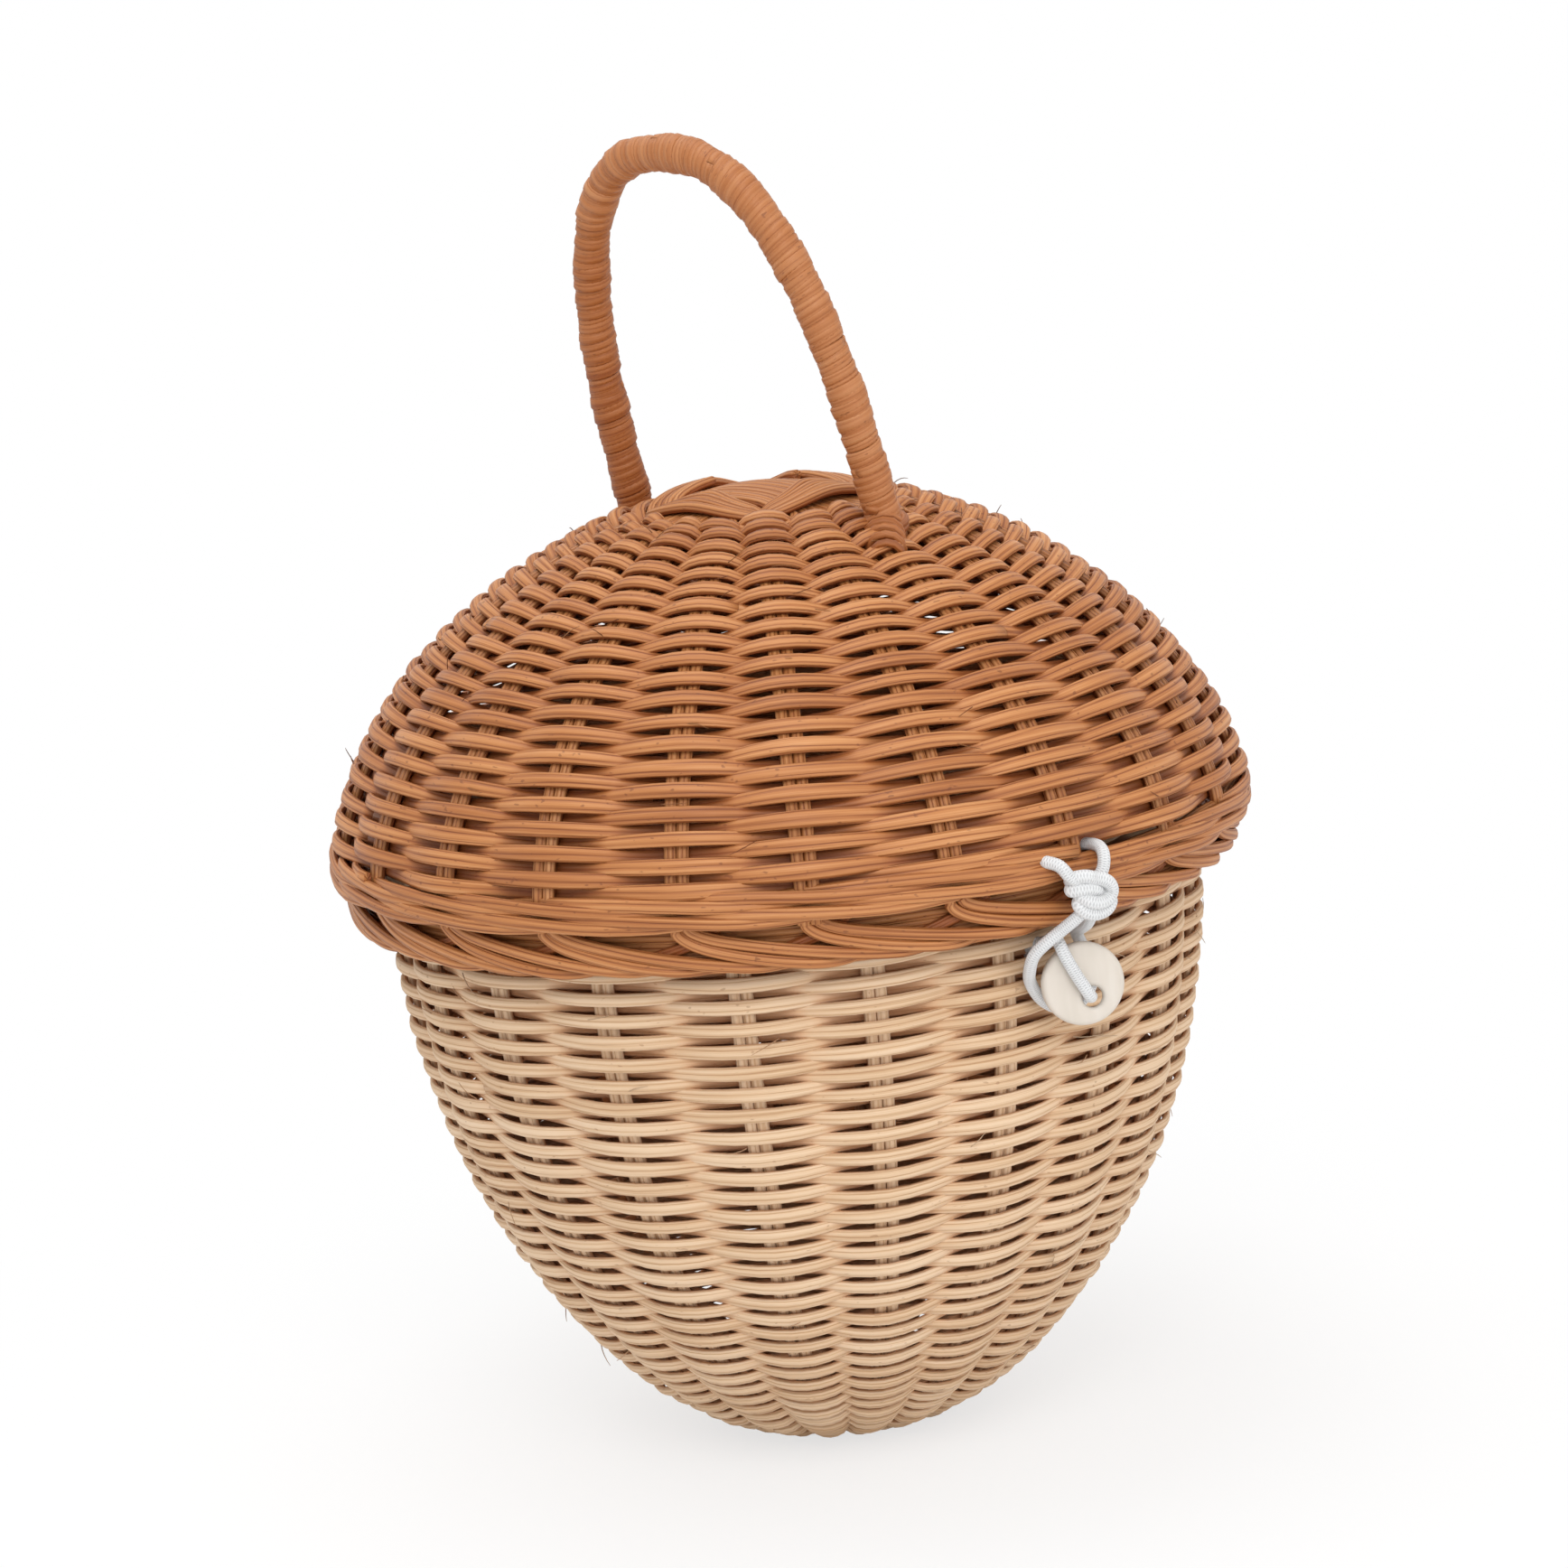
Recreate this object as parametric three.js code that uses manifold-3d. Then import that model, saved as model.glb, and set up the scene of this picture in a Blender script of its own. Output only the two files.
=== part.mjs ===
import * as THREE from 'three';
import { mergeVertices } from 'three/addons/utils/BufferGeometryUtils.js';
import Module from 'manifold-3d';

// A round rattan basket with a domed lid, an arch handle on the lid and a button closure.
// Millimetres, +Z up, the floor at z = 0. The closure is at the front, toward -Y, and the
// hinge rings are at the back, toward +Y.

const wasm = await Module();
wasm.setup();

// Body: the lower half of a superellipse, flat where it stands, with a neck inside the lid
const bodyRadius = 106.5;
const rimHeight = 148.5;
const baseTrim = 6;
const bodyCurveDepth = rimHeight + baseTrim;
const bodyFullness = 1.93;
const neckTaper = 2;

// Lid: the upper half of a superellipse over a shoulder that tucks in to the rim
const lidOverhang = 13.5;
const lidRadius = bodyRadius + lidOverhang;
const domeRise = 91;
const domeFullness = 1.75;
const shoulderHeight = 14;
const rimTuck = 5;
const spreadRadius = 28;
const crownEdgeShare = 0.16;

// Woven walls, the reeds that stiffen them and the rolled borders that close them
const wallThickness = 2.7;
const reedDiameter = 2.6;
const reedClearance = 0.8;
const layGap = 0.3;
const borderDiameter = 6.4;
const wallSegments = 36;
const bodyWallSteps = 8;
const neckSteps = 1;
const domeSteps = 8;
const shoulderSteps = 1;

// Bundles of reeds crossed two over two, whose ends fan out and pair up as the stakes
const bodyBundleReeds = [5, 5];
const lidBundleReeds = [6, 5];
const laneShare = 0.7;
const crossReach = 16.5;
const fanRadius = 44;
const reedSides = 5;

// Arch handle: a cane core wound with flat peel, leaning a little to the left
const handleReach = 46.5;
const handleRise = 98.5;
const handleFullness = 2.48;
const handleLeanDegrees = 12.8;
const coreDiameter = 6;
const legLength = 19;
const legClearance = 0.5;
const bindingDiameter = 9;
const bindingGrooveDepth = 0.55;
const bindingPitch = 3.3;
const tieDiameter = 10.6;
const tieDepth = 12;
const tiePitch = 2.4;
const tieTurns = 2;

// Hinge: two cane rings round the lid's border, through the body's wall and the lid's wall
const ringInset = 8.5;
const ringOutset = 2;
const ringRadius = (lidRadius + ringOutset - bodyRadius + ringInset) / 2;
const ringCaneDiameter = 3;
const ringSpacing = 48;
const ringClearance = 0.4;

// Closure: an elastic cord and a wooden button with one hole beside its centre
const cordDiameter = 3.1;
const cordClearance = 0.3;
const cordStep = 3.2;
const buttonDiameter = 20.4;
const buttonThickness = 4;
const buttonBevel = 0.6;
const buttonHoleDiameter = 5.2;
const buttonHoleOffset = 4.1;
const buttonDrop = 14.2;
const buttonStandoff = 10.8;
const buttonTurnDegrees = 26;
const buttonTiltDegrees = 5;
const holeDirectionDegrees = -60;
const knotRadius = 3.3;
const knotTurnDegrees = 30;

// Running and seating gap between pieces that touch on the real basket
const seatGap = 0.3;

const radians = THREE.MathUtils.degToRad;
const frontDegrees = -90;
const fullTurn = 2 * Math.PI;

// Colours and finishes
const finishes = {
  naturalReed: { color: 0xdcbd92, roughness: 0.62, metalness: 0 },
  stainedReed: { color: 0xb8752f, roughness: 0.5, metalness: 0 },
  stainedCane: { color: 0xa9642a, roughness: 0.45, metalness: 0 },
  cord: { color: 0xe6e4e0, roughness: 0.8, metalness: 0 },
  buttonWood: { color: 0xe2d9cd, roughness: 0.55, metalness: 0 },
};

const basket = new THREE.Group();
const body = new THREE.Group();
const lid = new THREE.Group();
const button = new THREE.Group();
basket.add(body, lid, button);

function addPiece(group, name, geometry, finish) {
  const mesh = new THREE.Mesh(geometry, new THREE.MeshStandardMaterial(finishes[finish]));
  mesh.name = name;
  group.add(mesh);
  return mesh;
}

// Closed geometry to a solid for joins and cuts, and back
function toSolid(geometry) {
  const bare = geometry.clone();
  bare.deleteAttribute('normal');
  bare.deleteAttribute('uv');
  const merged = mergeVertices(bare);
  return new wasm.Manifold(new wasm.Mesh({
    numProp: 3,
    vertProperties: new Float32Array(merged.attributes.position.array),
    triVerts: new Uint32Array(merged.index.array),
  }));
}

function toGeometry(solid) {
  const mesh = solid.getMesh();
  const geometry = new THREE.BufferGeometry();
  geometry.setAttribute('position', new THREE.BufferAttribute(mesh.vertProperties, 3));
  geometry.setIndex(new THREE.BufferAttribute(mesh.triVerts, 1));
  geometry.computeVertexNormals();
  return geometry;
}

function joined(solids) {
  return solids.reduce((whole, solid) => whole.add(solid));
}

// A closed outline of [radius, height] points turned about the Z axis
function revolve(outline, segments) {
  const points = outline.map(([radius, height]) => new THREE.Vector2(radius, height));
  if (THREE.ShapeUtils.area(points) < 0) {
    points.reverse();
  }
  points.push(points[0].clone());
  const geometry = new THREE.LatheGeometry(points, segments);
  geometry.rotateX(Math.PI / 2);
  return geometry;
}

// A tube of round section along a curve
function tube(curve, diameter, sides, steps) {
  const section = new THREE.Shape();
  for (let i = 0; i < sides; i += 1) {
    const angle = fullTurn * i / sides;
    const x = diameter / 2 * Math.cos(angle);
    const y = diameter / 2 * Math.sin(angle);
    if (i === 0) {
      section.moveTo(x, y);
    } else {
      section.lineTo(x, y);
    }
  }
  return new THREE.ExtrudeGeometry(section, { steps, bevelEnabled: false, extrudePath: curve });
}

// A tube of few sides straight from point to point, closed with a fan at each end
function facetedTube(points, diameter, sides) {
  const positions = [];
  const index = [];
  const side = new THREE.Vector3();
  points.forEach((point, i) => {
    const before = points[Math.max(i - 1, 0)];
    const after = points[Math.min(i + 1, points.length - 1)];
    const along = after.clone().sub(before).normalize();
    if (i === 0) {
      side.crossVectors(along, new THREE.Vector3(0, 0, 1)).normalize();
    }
    side.addScaledVector(along, -side.dot(along)).normalize();
    const up = new THREE.Vector3().crossVectors(side, along);
    for (let j = 0; j < sides; j += 1) {
      const angle = fullTurn * (j + 1 / 4) / sides;
      const place = point.clone()
        .addScaledVector(side, diameter / 2 * Math.sin(angle))
        .addScaledVector(up, diameter / 2 * Math.cos(angle));
      positions.push(place.x, place.y, place.z);
    }
  });
  for (let i = 0; i < points.length - 1; i += 1) {
    for (let j = 0; j < sides; j += 1) {
      const next = (j + 1) % sides;
      const here = i * sides;
      const there = here + sides;
      index.push(here + j, there + next, there + j, here + j, here + next, there + next);
    }
  }
  const last = (points.length - 1) * sides;
  for (let j = 1; j < sides - 1; j += 1) {
    index.push(0, j + 1, j, last, last + j, last + j + 1);
  }
  const geometry = new THREE.BufferGeometry();
  geometry.setAttribute('position', new THREE.Float32BufferAttribute(positions, 3));
  geometry.setIndex(index);
  return geometry;
}

// A line of [radius, height] points moved sideways by a distance, to the right of its course
function offsetLine(line, distance) {
  return line.map((point, i) => {
    const [r0, z0] = line[Math.max(i - 1, 0)];
    const [r1, z1] = point;
    const [r2, z2] = line[Math.min(i + 1, line.length - 1)];
    const first = new THREE.Vector2(z1 - z0, r0 - r1);
    const second = new THREE.Vector2(z2 - z1, r1 - r2);
    if (i === 0) {
      first.copy(second);
    }
    if (i === line.length - 1) {
      second.copy(first);
    }
    first.normalize();
    second.normalize();
    const across = first.clone().add(second).normalize();
    const reach = distance / across.dot(first);
    return [r1 + reach * across.x, z1 + reach * across.y];
  });
}

// Outer outline of the body, from the middle of the base to the border
function bodyRadiusAt(height) {
  const above = height - rimHeight;
  if (above > 0) {
    return bodyRadius - neckTaper * (above / bodyBorderRise) ** 2;
  }
  const share = Math.min(-above / bodyCurveDepth, 1);
  return bodyRadius * (1 - share ** bodyFullness) ** (1 / bodyFullness);
}

function bodyOutline() {
  const line = [[0, 0]];
  const baseRadius = bodyRadiusAt(0);
  const start = Math.asin((baseRadius / bodyRadius) ** (bodyFullness / 2));
  for (let i = 0; i <= bodyWallSteps; i += 1) {
    const angle = start + (Math.PI / 2 - start) * i / bodyWallSteps;
    const height = rimHeight - bodyCurveDepth * Math.cos(angle) ** (2 / bodyFullness);
    line.push([bodyRadius * Math.sin(angle) ** (2 / bodyFullness), Math.max(height, 0)]);
  }
  const neckRise = bodyBorderRise - borderDiameter / 2 - seatGap;
  for (let i = 1; i <= neckSteps; i += 1) {
    const height = rimHeight + neckRise * i / neckSteps;
    line.push([bodyRadiusAt(height), height]);
  }
  return line;
}

// Outer outline of the lid, from the edge of the crown to just above the rim's border
function lidRadiusAt(height) {
  const above = height - rimHeight - shoulderHeight;
  if (above < 0) {
    return lidRadius - rimTuck * (above / shoulderHeight) ** 2;
  }
  const share = Math.min(above / domeRise, 1);
  return lidRadius * (1 - share ** domeFullness) ** (1 / domeFullness);
}

function domeHeightAt(radius) {
  const share = (1 - (radius / lidRadius) ** domeFullness) ** (1 / domeFullness);
  return rimHeight + shoulderHeight + domeRise * share;
}

function lidOutline() {
  const line = [];
  const start = Math.asin((spreadRadius / lidRadius) ** (domeFullness / 2));
  const foot = borderDiameter + seatGap;
  for (let i = 0; i <= domeSteps; i += 1) {
    const angle = start + (Math.PI / 2 - start) * i / domeSteps;
    const radius = lidRadius * Math.sin(angle) ** (2 / domeFullness);
    const height = domeRise * Math.cos(angle) ** (2 / domeFullness);
    line.push([radius, rimHeight + shoulderHeight + Math.max(height, 0)]);
  }
  for (let i = 1; i <= shoulderSteps; i += 1) {
    const height = rimHeight + shoulderHeight + (foot - shoulderHeight) * i / shoulderSteps;
    line.push([lidRadiusAt(height), height]);
  }
  return line;
}

// The stakes follow the first bend of the wall and every second one after it, inside the wall
const stakeDepth = wallThickness + reedClearance + reedDiameter / 2;
const reedLayer = reedDiameter + layGap;
const lidLine = lidOutline();
const lidStakeLine = stakeBends(offsetLine(lidLine, stakeDepth));
const lidBorderRadius = lidRadiusAt(rimHeight + borderDiameter / 2) - borderDiameter / 2;

function stakeBends(line) {
  return line.filter((point, i) => i === 0 || i % 2 === 1 || i === line.length - 1);
}

// The body's border rests where the lid's stakes come down on it
const bodyBorderRadius = bodyRadius - neckTaper - borderDiameter / 2;
const bodyBorderRise = restingRise();

function distanceToLine(point, line) {
  const place = new THREE.Vector3(...point, 0);
  const nearest = new THREE.Vector3();
  return Math.min(...line.slice(1).map((end, i) => {
    const run = new THREE.Line3(new THREE.Vector3(...line[i], 0), new THREE.Vector3(...end, 0));
    return run.closestPointToPoint(place, true, nearest).distanceTo(place);
  }));
}

function restingRise() {
  const reach = reedDiameter / 2 + seatGap + borderDiameter / 2;
  const halvings = 24;
  let low = shoulderHeight;
  let high = domeRise;
  for (let i = 0; i < halvings; i += 1) {
    const middle = (low + high) / 2;
    const inside = lidRadiusAt(rimHeight + middle) > bodyBorderRadius;
    if (inside && distanceToLine([bodyBorderRadius, rimHeight + middle], lidStakeLine) > reach) {
      low = middle;
    } else {
      high = middle;
    }
  }
  return low;
}

const bodyBorderHeight = rimHeight + bodyBorderRise;
const lidBorderHeight = rimHeight + borderDiameter / 2;

// Hinge axis, along X behind the body's wall and level with the bottom of the rim
const hingeAxis = { y: bodyRadius - ringInset + ringRadius, z: rimHeight };

function hingeRing(caneDiameter, sideSign) {
  const segments = 20;
  const sides = 6;
  const geometry = new THREE.TorusGeometry(ringRadius, caneDiameter / 2, sides, segments);
  geometry.rotateY(Math.PI / 2);
  geometry.translate(sideSign * ringSpacing / 2, hingeAxis.y, hingeAxis.z);
  return geometry;
}

const ringCuts = [-1, 1].map((sign) => toSolid(hingeRing(ringCaneDiameter + 2 * ringClearance, sign)));

// Handle arch: its plane passes midway between two stakes of the lid and leans to the left
const lidStakeStep = 180 / lidBundleReeds.reduce((sum, count) => sum + count);
const bodyStakeStep = 180 / bodyBundleReeds.reduce((sum, count) => sum + count);
const handleDegrees = frontDegrees + lidStakeStep / 2;
const footRise = stakeDepth - wallThickness / 2;
const handleAlong = new THREE.Vector3(1, 0, 0).applyAxisAngle(new THREE.Vector3(0, 0, 1), radians(handleDegrees));
const handleUp = new THREE.Vector3(0, 0, 1).applyAxisAngle(handleAlong, radians(handleLeanDegrees));

function archPoint(angle) {
  const power = 2 / handleFullness;
  const across = Math.sign(Math.cos(angle)) * Math.abs(Math.cos(angle)) ** power * handleReach;
  const rise = footRise + Math.sin(angle) ** power * handleRise;
  return new THREE.Vector3(0, 0, domeHeightAt(handleReach) - stakeDepth)
    .addScaledVector(handleAlong, across)
    .addScaledVector(handleUp, rise);
}

// The arch goes straight on into the lid at each foot
class ArchCurve extends THREE.Curve {
  constructor(legs) {
    super();
    const points = [];
    const archSteps = 28;
    for (let i = 0; i <= archSteps; i += 1) {
      points.push(archPoint(Math.PI * i / archSteps));
    }
    points.unshift(points[0].clone().addScaledVector(handleUp, -legs));
    points.push(points[points.length - 1].clone().addScaledVector(handleUp, -legs));
    this.line = new THREE.CatmullRomCurve3(points, false, 'centripetal');
  }

  getPoint(share, target = new THREE.Vector3()) {
    return this.line.getPoint(share, target);
  }
}

const coreCurve = new ArchCurve(legLength);
const coreSteps = 32;
const coreSides = 8;
const legCut = joined([0, Math.PI].map((angle) => {
  const foot = archPoint(angle);
  const line = new THREE.LineCurve3(
    foot.clone().addScaledVector(handleUp, -legLength),
    foot.clone().addScaledVector(handleUp, legLength),
  );
  return toSolid(tube(line, coreDiameter + 2 * legClearance, coreSides, 1));
}));

// Routes of the closure's cords, point by point, and the middle of the knot between them:
// to the right, out from the front of the body and up from the rim
const atRim = ([right, out, up]) => [right, -bodyRadius - out, rimHeight + up];
const closureAnchorRoute = [
  [-6.5, 17.5, 14.3], [-8.4, 16.4, 17.1], [-9.9, 13.3, 18.1],
  [-9.4, 9.3, 17.9], [-6.4, 4.9, 17.9], [-1, 3.4, 18.3], [4.4, 4.5, 18.7],
  [6.2, 9.1, 18.9], [6.3, 13.4, 18.8], [5.3, 16.3, 17.3], [3.8, 17.6, 14.4],
].map(atRim);
const closureLoopRoute = [
  [-3.6, 16.4, 4.1], [-6.6, 13.4, 0.9], [-10.2, 11.3, -1.9],
  [-12.2, 8.7, -4.9], [-11.8, 5.9, -8.9], [-9.6, 2.8, -13.1], [-6.2, 2.1, -18.1],
  [-1.2, 2.6, -21.4], [4.4, 2.8, -21.5], [8.6, 3.3, -17.5], [8.6, 3.9, -11.5],
  [5.8, 4.4, -6.5], [3.2, 6.1, -2.7], [2.3, 9.1, -1.2], [1.9, 12.1, 0.4],
  [1.2, 14.7, 2.7], [0.4, 16.5, 4.4],
].map(atRim);
const buttonCordRoute = [
  [-3.9, 0.6, -4.9], [-3.6, 2.9, -4.1], [-3.5, 5.1, -2.9], [-4.7, 7.3, -2.1],
  [-5.6, 10.0, -3.0], [-5.2, 11.6, -6.3], [-3.6, 12.9, -10.7], [-1.9, 14.0, -14.5],
  [-0.1, 13.5, -16.9], [1.7, 11.6, -17.8], [3, 9.0, -18.0], [3.2, 6.0, -17.9],
  [2.7, 3.0, -17.6], [2.4, 0.6, -17.3],
].map(atRim);
const buttonAnchorRoute = [
  [-3.9, -0.2, -4.9], [-3.8, -3.1, -5.3], [-3.2, -5.1, -7.9], [-0.7, -5.5, -11.3],
  [1.8, -5.2, -14.7], [2.4, -3.5, -17.1], [2.4, -0.2, -17.3],
].map(atRim);
const knotPlace = atRim([-1, 18.3, 9.9]);

function cordTube(route, diameter = cordDiameter) {
  const sides = 8;
  const curve = new THREE.CatmullRomCurve3(route.map((point) => new THREE.Vector3(...point)));
  const steps = Math.ceil(curve.getLength() / cordStep);
  return tube(curve, diameter, sides, steps);
}

// Stakes: two bundles cross over two others, and their reed ends fan out and pair up down the
// wall. The ends are counted round from the first stake, two to a stake.
function stakeBundles(group, prefix, finish, counts, wallLine, firstStakeDegrees, firstEnd, heights) {
  const reedsAcross = counts.reduce((sum, count) => sum + count);
  const endStep = 90 / reedsAcross;
  const endDegrees = (end) => firstStakeDegrees + (end - 0.5) * endStep;
  const laneStep = reedDiameter * laneShare;
  const bundleGap = reedDiameter + layGap - laneStep;
  heights.forEach((height, course) => {
    const nearEnd = firstEnd + course * reedsAcross;
    const farEnd = nearEnd + 3 * reedsAcross - 1;
    const courseDegrees = (endDegrees(nearEnd) + endDegrees(nearEnd + reedsAcross - 1)) / 2;
    let reed = 0;
    counts.forEach((count, bundle) => {
      const solids = [];
      for (const last = reed + count; reed < last; reed += 1) {
        const lane = (reed - (reedsAcross - 1) / 2) * laneStep + (bundle - 0.5) * bundleGap;
        solids.push(toSolid(facetedTube([
          ...armPoints(wallLine, courseDegrees, lane, nearEnd + reed, endDegrees).reverse(),
          ...crossing(courseDegrees, lane, height),
          ...armPoints(wallLine, courseDegrees + 180, -lane, farEnd - reed, endDegrees),
        ], reedDiameter, reedSides)));
      }
      const number = 1 + bundle + course * counts.length;
      addPiece(group, `${prefix}_stakes_${number}`, toGeometry(joined(solids)), finish);
    });
  });
}

// The two ends of a reed's straight run through the crossing
function crossing(courseDegrees, lane, height) {
  const course = radians(courseDegrees);
  const along = new THREE.Vector3(Math.cos(course), Math.sin(course), 0);
  const across = new THREE.Vector3(-along.y, along.x, 0);
  return [1, -1].map((sign) => across.clone().multiplyScalar(lane)
    .addScaledVector(along, sign * crossReach).setZ(height));
}

// One arm of a reed, which leaves its bundle at the wall's first bend and runs to the border
function armPoints(wallLine, armDegrees, lane, end, endDegrees) {
  const pair = Math.floor(end / 2);
  const pairDegrees = (endDegrees(2 * pair) + endDegrees(2 * pair + 1)) / 2;
  const sideways = (end % 2 - 0.5) * (reedDiameter + layGap);
  const arm = radians(armDegrees);
  const stake = radians(pairDegrees);
  return wallLine.map(([radius, height]) => {
    const mix = THREE.MathUtils.smoothstep(radius, wallLine[0][0], fanRadius);
    const straight = new THREE.Vector2(
      radius * Math.cos(arm) - lane * Math.sin(arm),
      radius * Math.sin(arm) + lane * Math.cos(arm),
    );
    const paired = new THREE.Vector2(
      radius * Math.cos(stake) - sideways * Math.sin(stake),
      radius * Math.sin(stake) + sideways * Math.cos(stake),
    );
    const place = straight.lerp(paired, mix).setLength(radius);
    return new THREE.Vector3(place.x, place.y, height);
  });
}

// Woven wall between an outline and its offset, with holes for what passes through
function wovenWall(line, thickness, cuts) {
  const wall = toSolid(revolve([...line, ...offsetLine(line, thickness).reverse()], wallSegments));
  return toGeometry(cuts.reduce((left, cut) => left.subtract(cut), wall));
}

// Rolled border, a ring of round section about the Z axis
function border(radius, height) {
  const sides = 8;
  const geometry = new THREE.TorusGeometry(radius, borderDiameter / 2, sides, wallSegments);
  geometry.translate(0, 0, height);
  return geometry;
}

function addBody() {
  const line = bodyOutline();
  const anchorCut = toSolid(cordTube(buttonAnchorRoute, cordDiameter + 2 * cordClearance));
  addPiece(body, 'body_weave', wovenWall(line, -wallThickness, [...ringCuts, anchorCut]), 'naturalReed');
  addPiece(body, 'body_border', border(bodyBorderRadius, bodyBorderHeight), 'naturalReed');
  const stakeLine = stakeBends(offsetLine(line.slice(1), -stakeDepth));
  stakeBundles(body, 'body', 'naturalReed', bodyBundleReeds, stakeLine,
    frontDegrees + bodyStakeStep / 2, 0, [stakeDepth, stakeDepth + reedLayer]);
  addPiece(body, 'hinge_ring_left', hingeRing(ringCaneDiameter, -1), 'stainedCane');
  addPiece(body, 'hinge_ring_right', hingeRing(ringCaneDiameter, 1), 'stainedCane');
  addPiece(body, 'button_anchor_cord', cordTube(buttonAnchorRoute), 'cord');
}

function addLid() {
  const edge = new THREE.Vector2(...lidLine[0]).lerp(new THREE.Vector2(...lidLine[1]), crownEdgeShare);
  const anchorCut = toSolid(cordTube(closureAnchorRoute, cordDiameter + 2 * cordClearance));
  const wall = wovenWall(
    [[edge.x, edge.y], ...lidLine.slice(1)], wallThickness, [...ringCuts, legCut, anchorCut],
  );
  addPiece(lid, 'lid_weave', wall, 'stainedReed');
  addPiece(lid, 'lid_border', border(lidBorderRadius, lidBorderHeight), 'stainedReed');
  const crownHeight = domeHeightAt(0) - stakeDepth;
  stakeBundles(lid, 'lid', 'stainedReed', lidBundleReeds, lidStakeLine,
    frontDegrees, 8, [crownHeight, crownHeight + reedLayer]);
}

// Flat peel wound up the handle: ridge and groove climb together as one unbroken helix
function helixGeometry() {
  const sides = 8;
  const ringsPerRib = 2;
  const rings = ringsPerRib * Math.round(coreCurve.getLength() / bindingPitch);
  const across = new THREE.Vector3().crossVectors(handleUp, handleAlong);
  const positions = [];
  for (let i = 0; i <= rings; i += 1) {
    for (let j = 0; j < sides; j += 1) {
      const share = (i + ringsPerRib * j / sides) / (rings + ringsPerRib);
      const along = coreCurve.getTangentAt(share);
      const outward = new THREE.Vector3().crossVectors(along, across);
      const angle = fullTurn * j / sides;
      const radius = bindingDiameter / 2 - (i % ringsPerRib) * bindingGrooveDepth;
      const place = coreCurve.getPointAt(share)
        .addScaledVector(across, radius * Math.cos(angle))
        .addScaledVector(outward, radius * Math.sin(angle));
      positions.push(place.x, place.y, place.z);
    }
  }
  const at = (i, j) => (j < sides ? i * sides + j : (i + ringsPerRib) * sides);
  const index = [];
  for (let j = 0; j < sides; j += 1) {
    const lastRing = j < sides - 1 ? rings : rings - ringsPerRib;
    for (let i = 0; i < lastRing; i += 1) {
      index.push(at(i, j), at(i, j + 1), at(i + 1, j + 1), at(i, j), at(i + 1, j + 1), at(i + 1, j));
    }
  }
  const startRim = [];
  const endRim = [];
  for (let j = 0; j < sides; j += 1) {
    startRim.unshift(at(0, j));
    endRim.push(at(rings, j));
  }
  for (let i = 1; i <= ringsPerRib; i += 1) {
    startRim.push(at(i, 0));
    endRim.push(at(rings - i, sides - 1));
  }
  for (const rim of [startRim, endRim]) {
    for (let i = 1; i < rim.length - 1; i += 1) {
      index.push(rim[0], rim[i], rim[i + 1]);
    }
  }
  const geometry = new THREE.BufferGeometry();
  geometry.setAttribute('position', new THREE.Float32BufferAttribute(positions, 3));
  geometry.setIndex(index);
  return geometry;
}

// The dome filled in and a seating gap larger, which the binding's ends are cut to
function domeClearance() {
  const skin = offsetLine(lidLine, -seatGap);
  const [, top] = skin[0];
  const [, foot] = skin[skin.length - 1];
  return toSolid(revolve([[0, top], ...skin, [0, foot]], wallSegments));
}

// Two turns of cane round a leg, below the stakes, that hold the handle from inside
function tieGeometry() {
  const bore = coreDiameter / 2 + seatGap;
  const waist = tieDiameter / 2 - bindingGrooveDepth;
  const outline = [[bore, 0], [waist, 0]];
  for (let turn = 0; turn < tieTurns; turn += 1) {
    outline.push([tieDiameter / 2, -(turn + 1 / 3) * tiePitch], [tieDiameter / 2, -(turn + 2 / 3) * tiePitch]);
    outline.push([waist, -(turn + 1) * tiePitch]);
  }
  outline.push([bore, -tieTurns * tiePitch]);
  const segments = 14;
  return revolve(outline, segments);
}

function addHandle() {
  const bore = toSolid(tube(coreCurve, coreDiameter + 2 * seatGap, coreSides, coreSteps));
  const binding = toSolid(helixGeometry()).subtract(bore).subtract(domeClearance());
  addPiece(lid, 'handle_core', tube(coreCurve, coreDiameter, coreSides, coreSteps), 'stainedCane');
  addPiece(lid, 'handle_binding', toGeometry(binding), 'stainedCane');
  ['front', 'back'].forEach((place, foot) => {
    const tie = addPiece(lid, `handle_tie_${place}`, tieGeometry(), 'stainedCane');
    tie.position.copy(archPoint(foot * Math.PI)).addScaledVector(handleUp, -tieDepth);
    tie.quaternion.setFromUnitVectors(new THREE.Vector3(0, 0, 1), handleUp);
  });
}

function addClosure() {
  addPiece(lid, 'closure_anchor_cord', cordTube(closureAnchorRoute), 'cord');
  const turns = 2;
  const lobes = 3;
  const knot = new THREE.TorusKnotGeometry(knotRadius, cordDiameter / 2, 42, 6, turns, lobes);
  knot.rotateZ(radians(knotTurnDegrees));
  knot.rotateX(Math.PI / 2);
  addPiece(lid, 'closure_knot', knot, 'cord').position.set(...knotPlace);
  addPiece(lid, 'closure_loop', cordTube(closureLoopRoute), 'cord');
}

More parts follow.
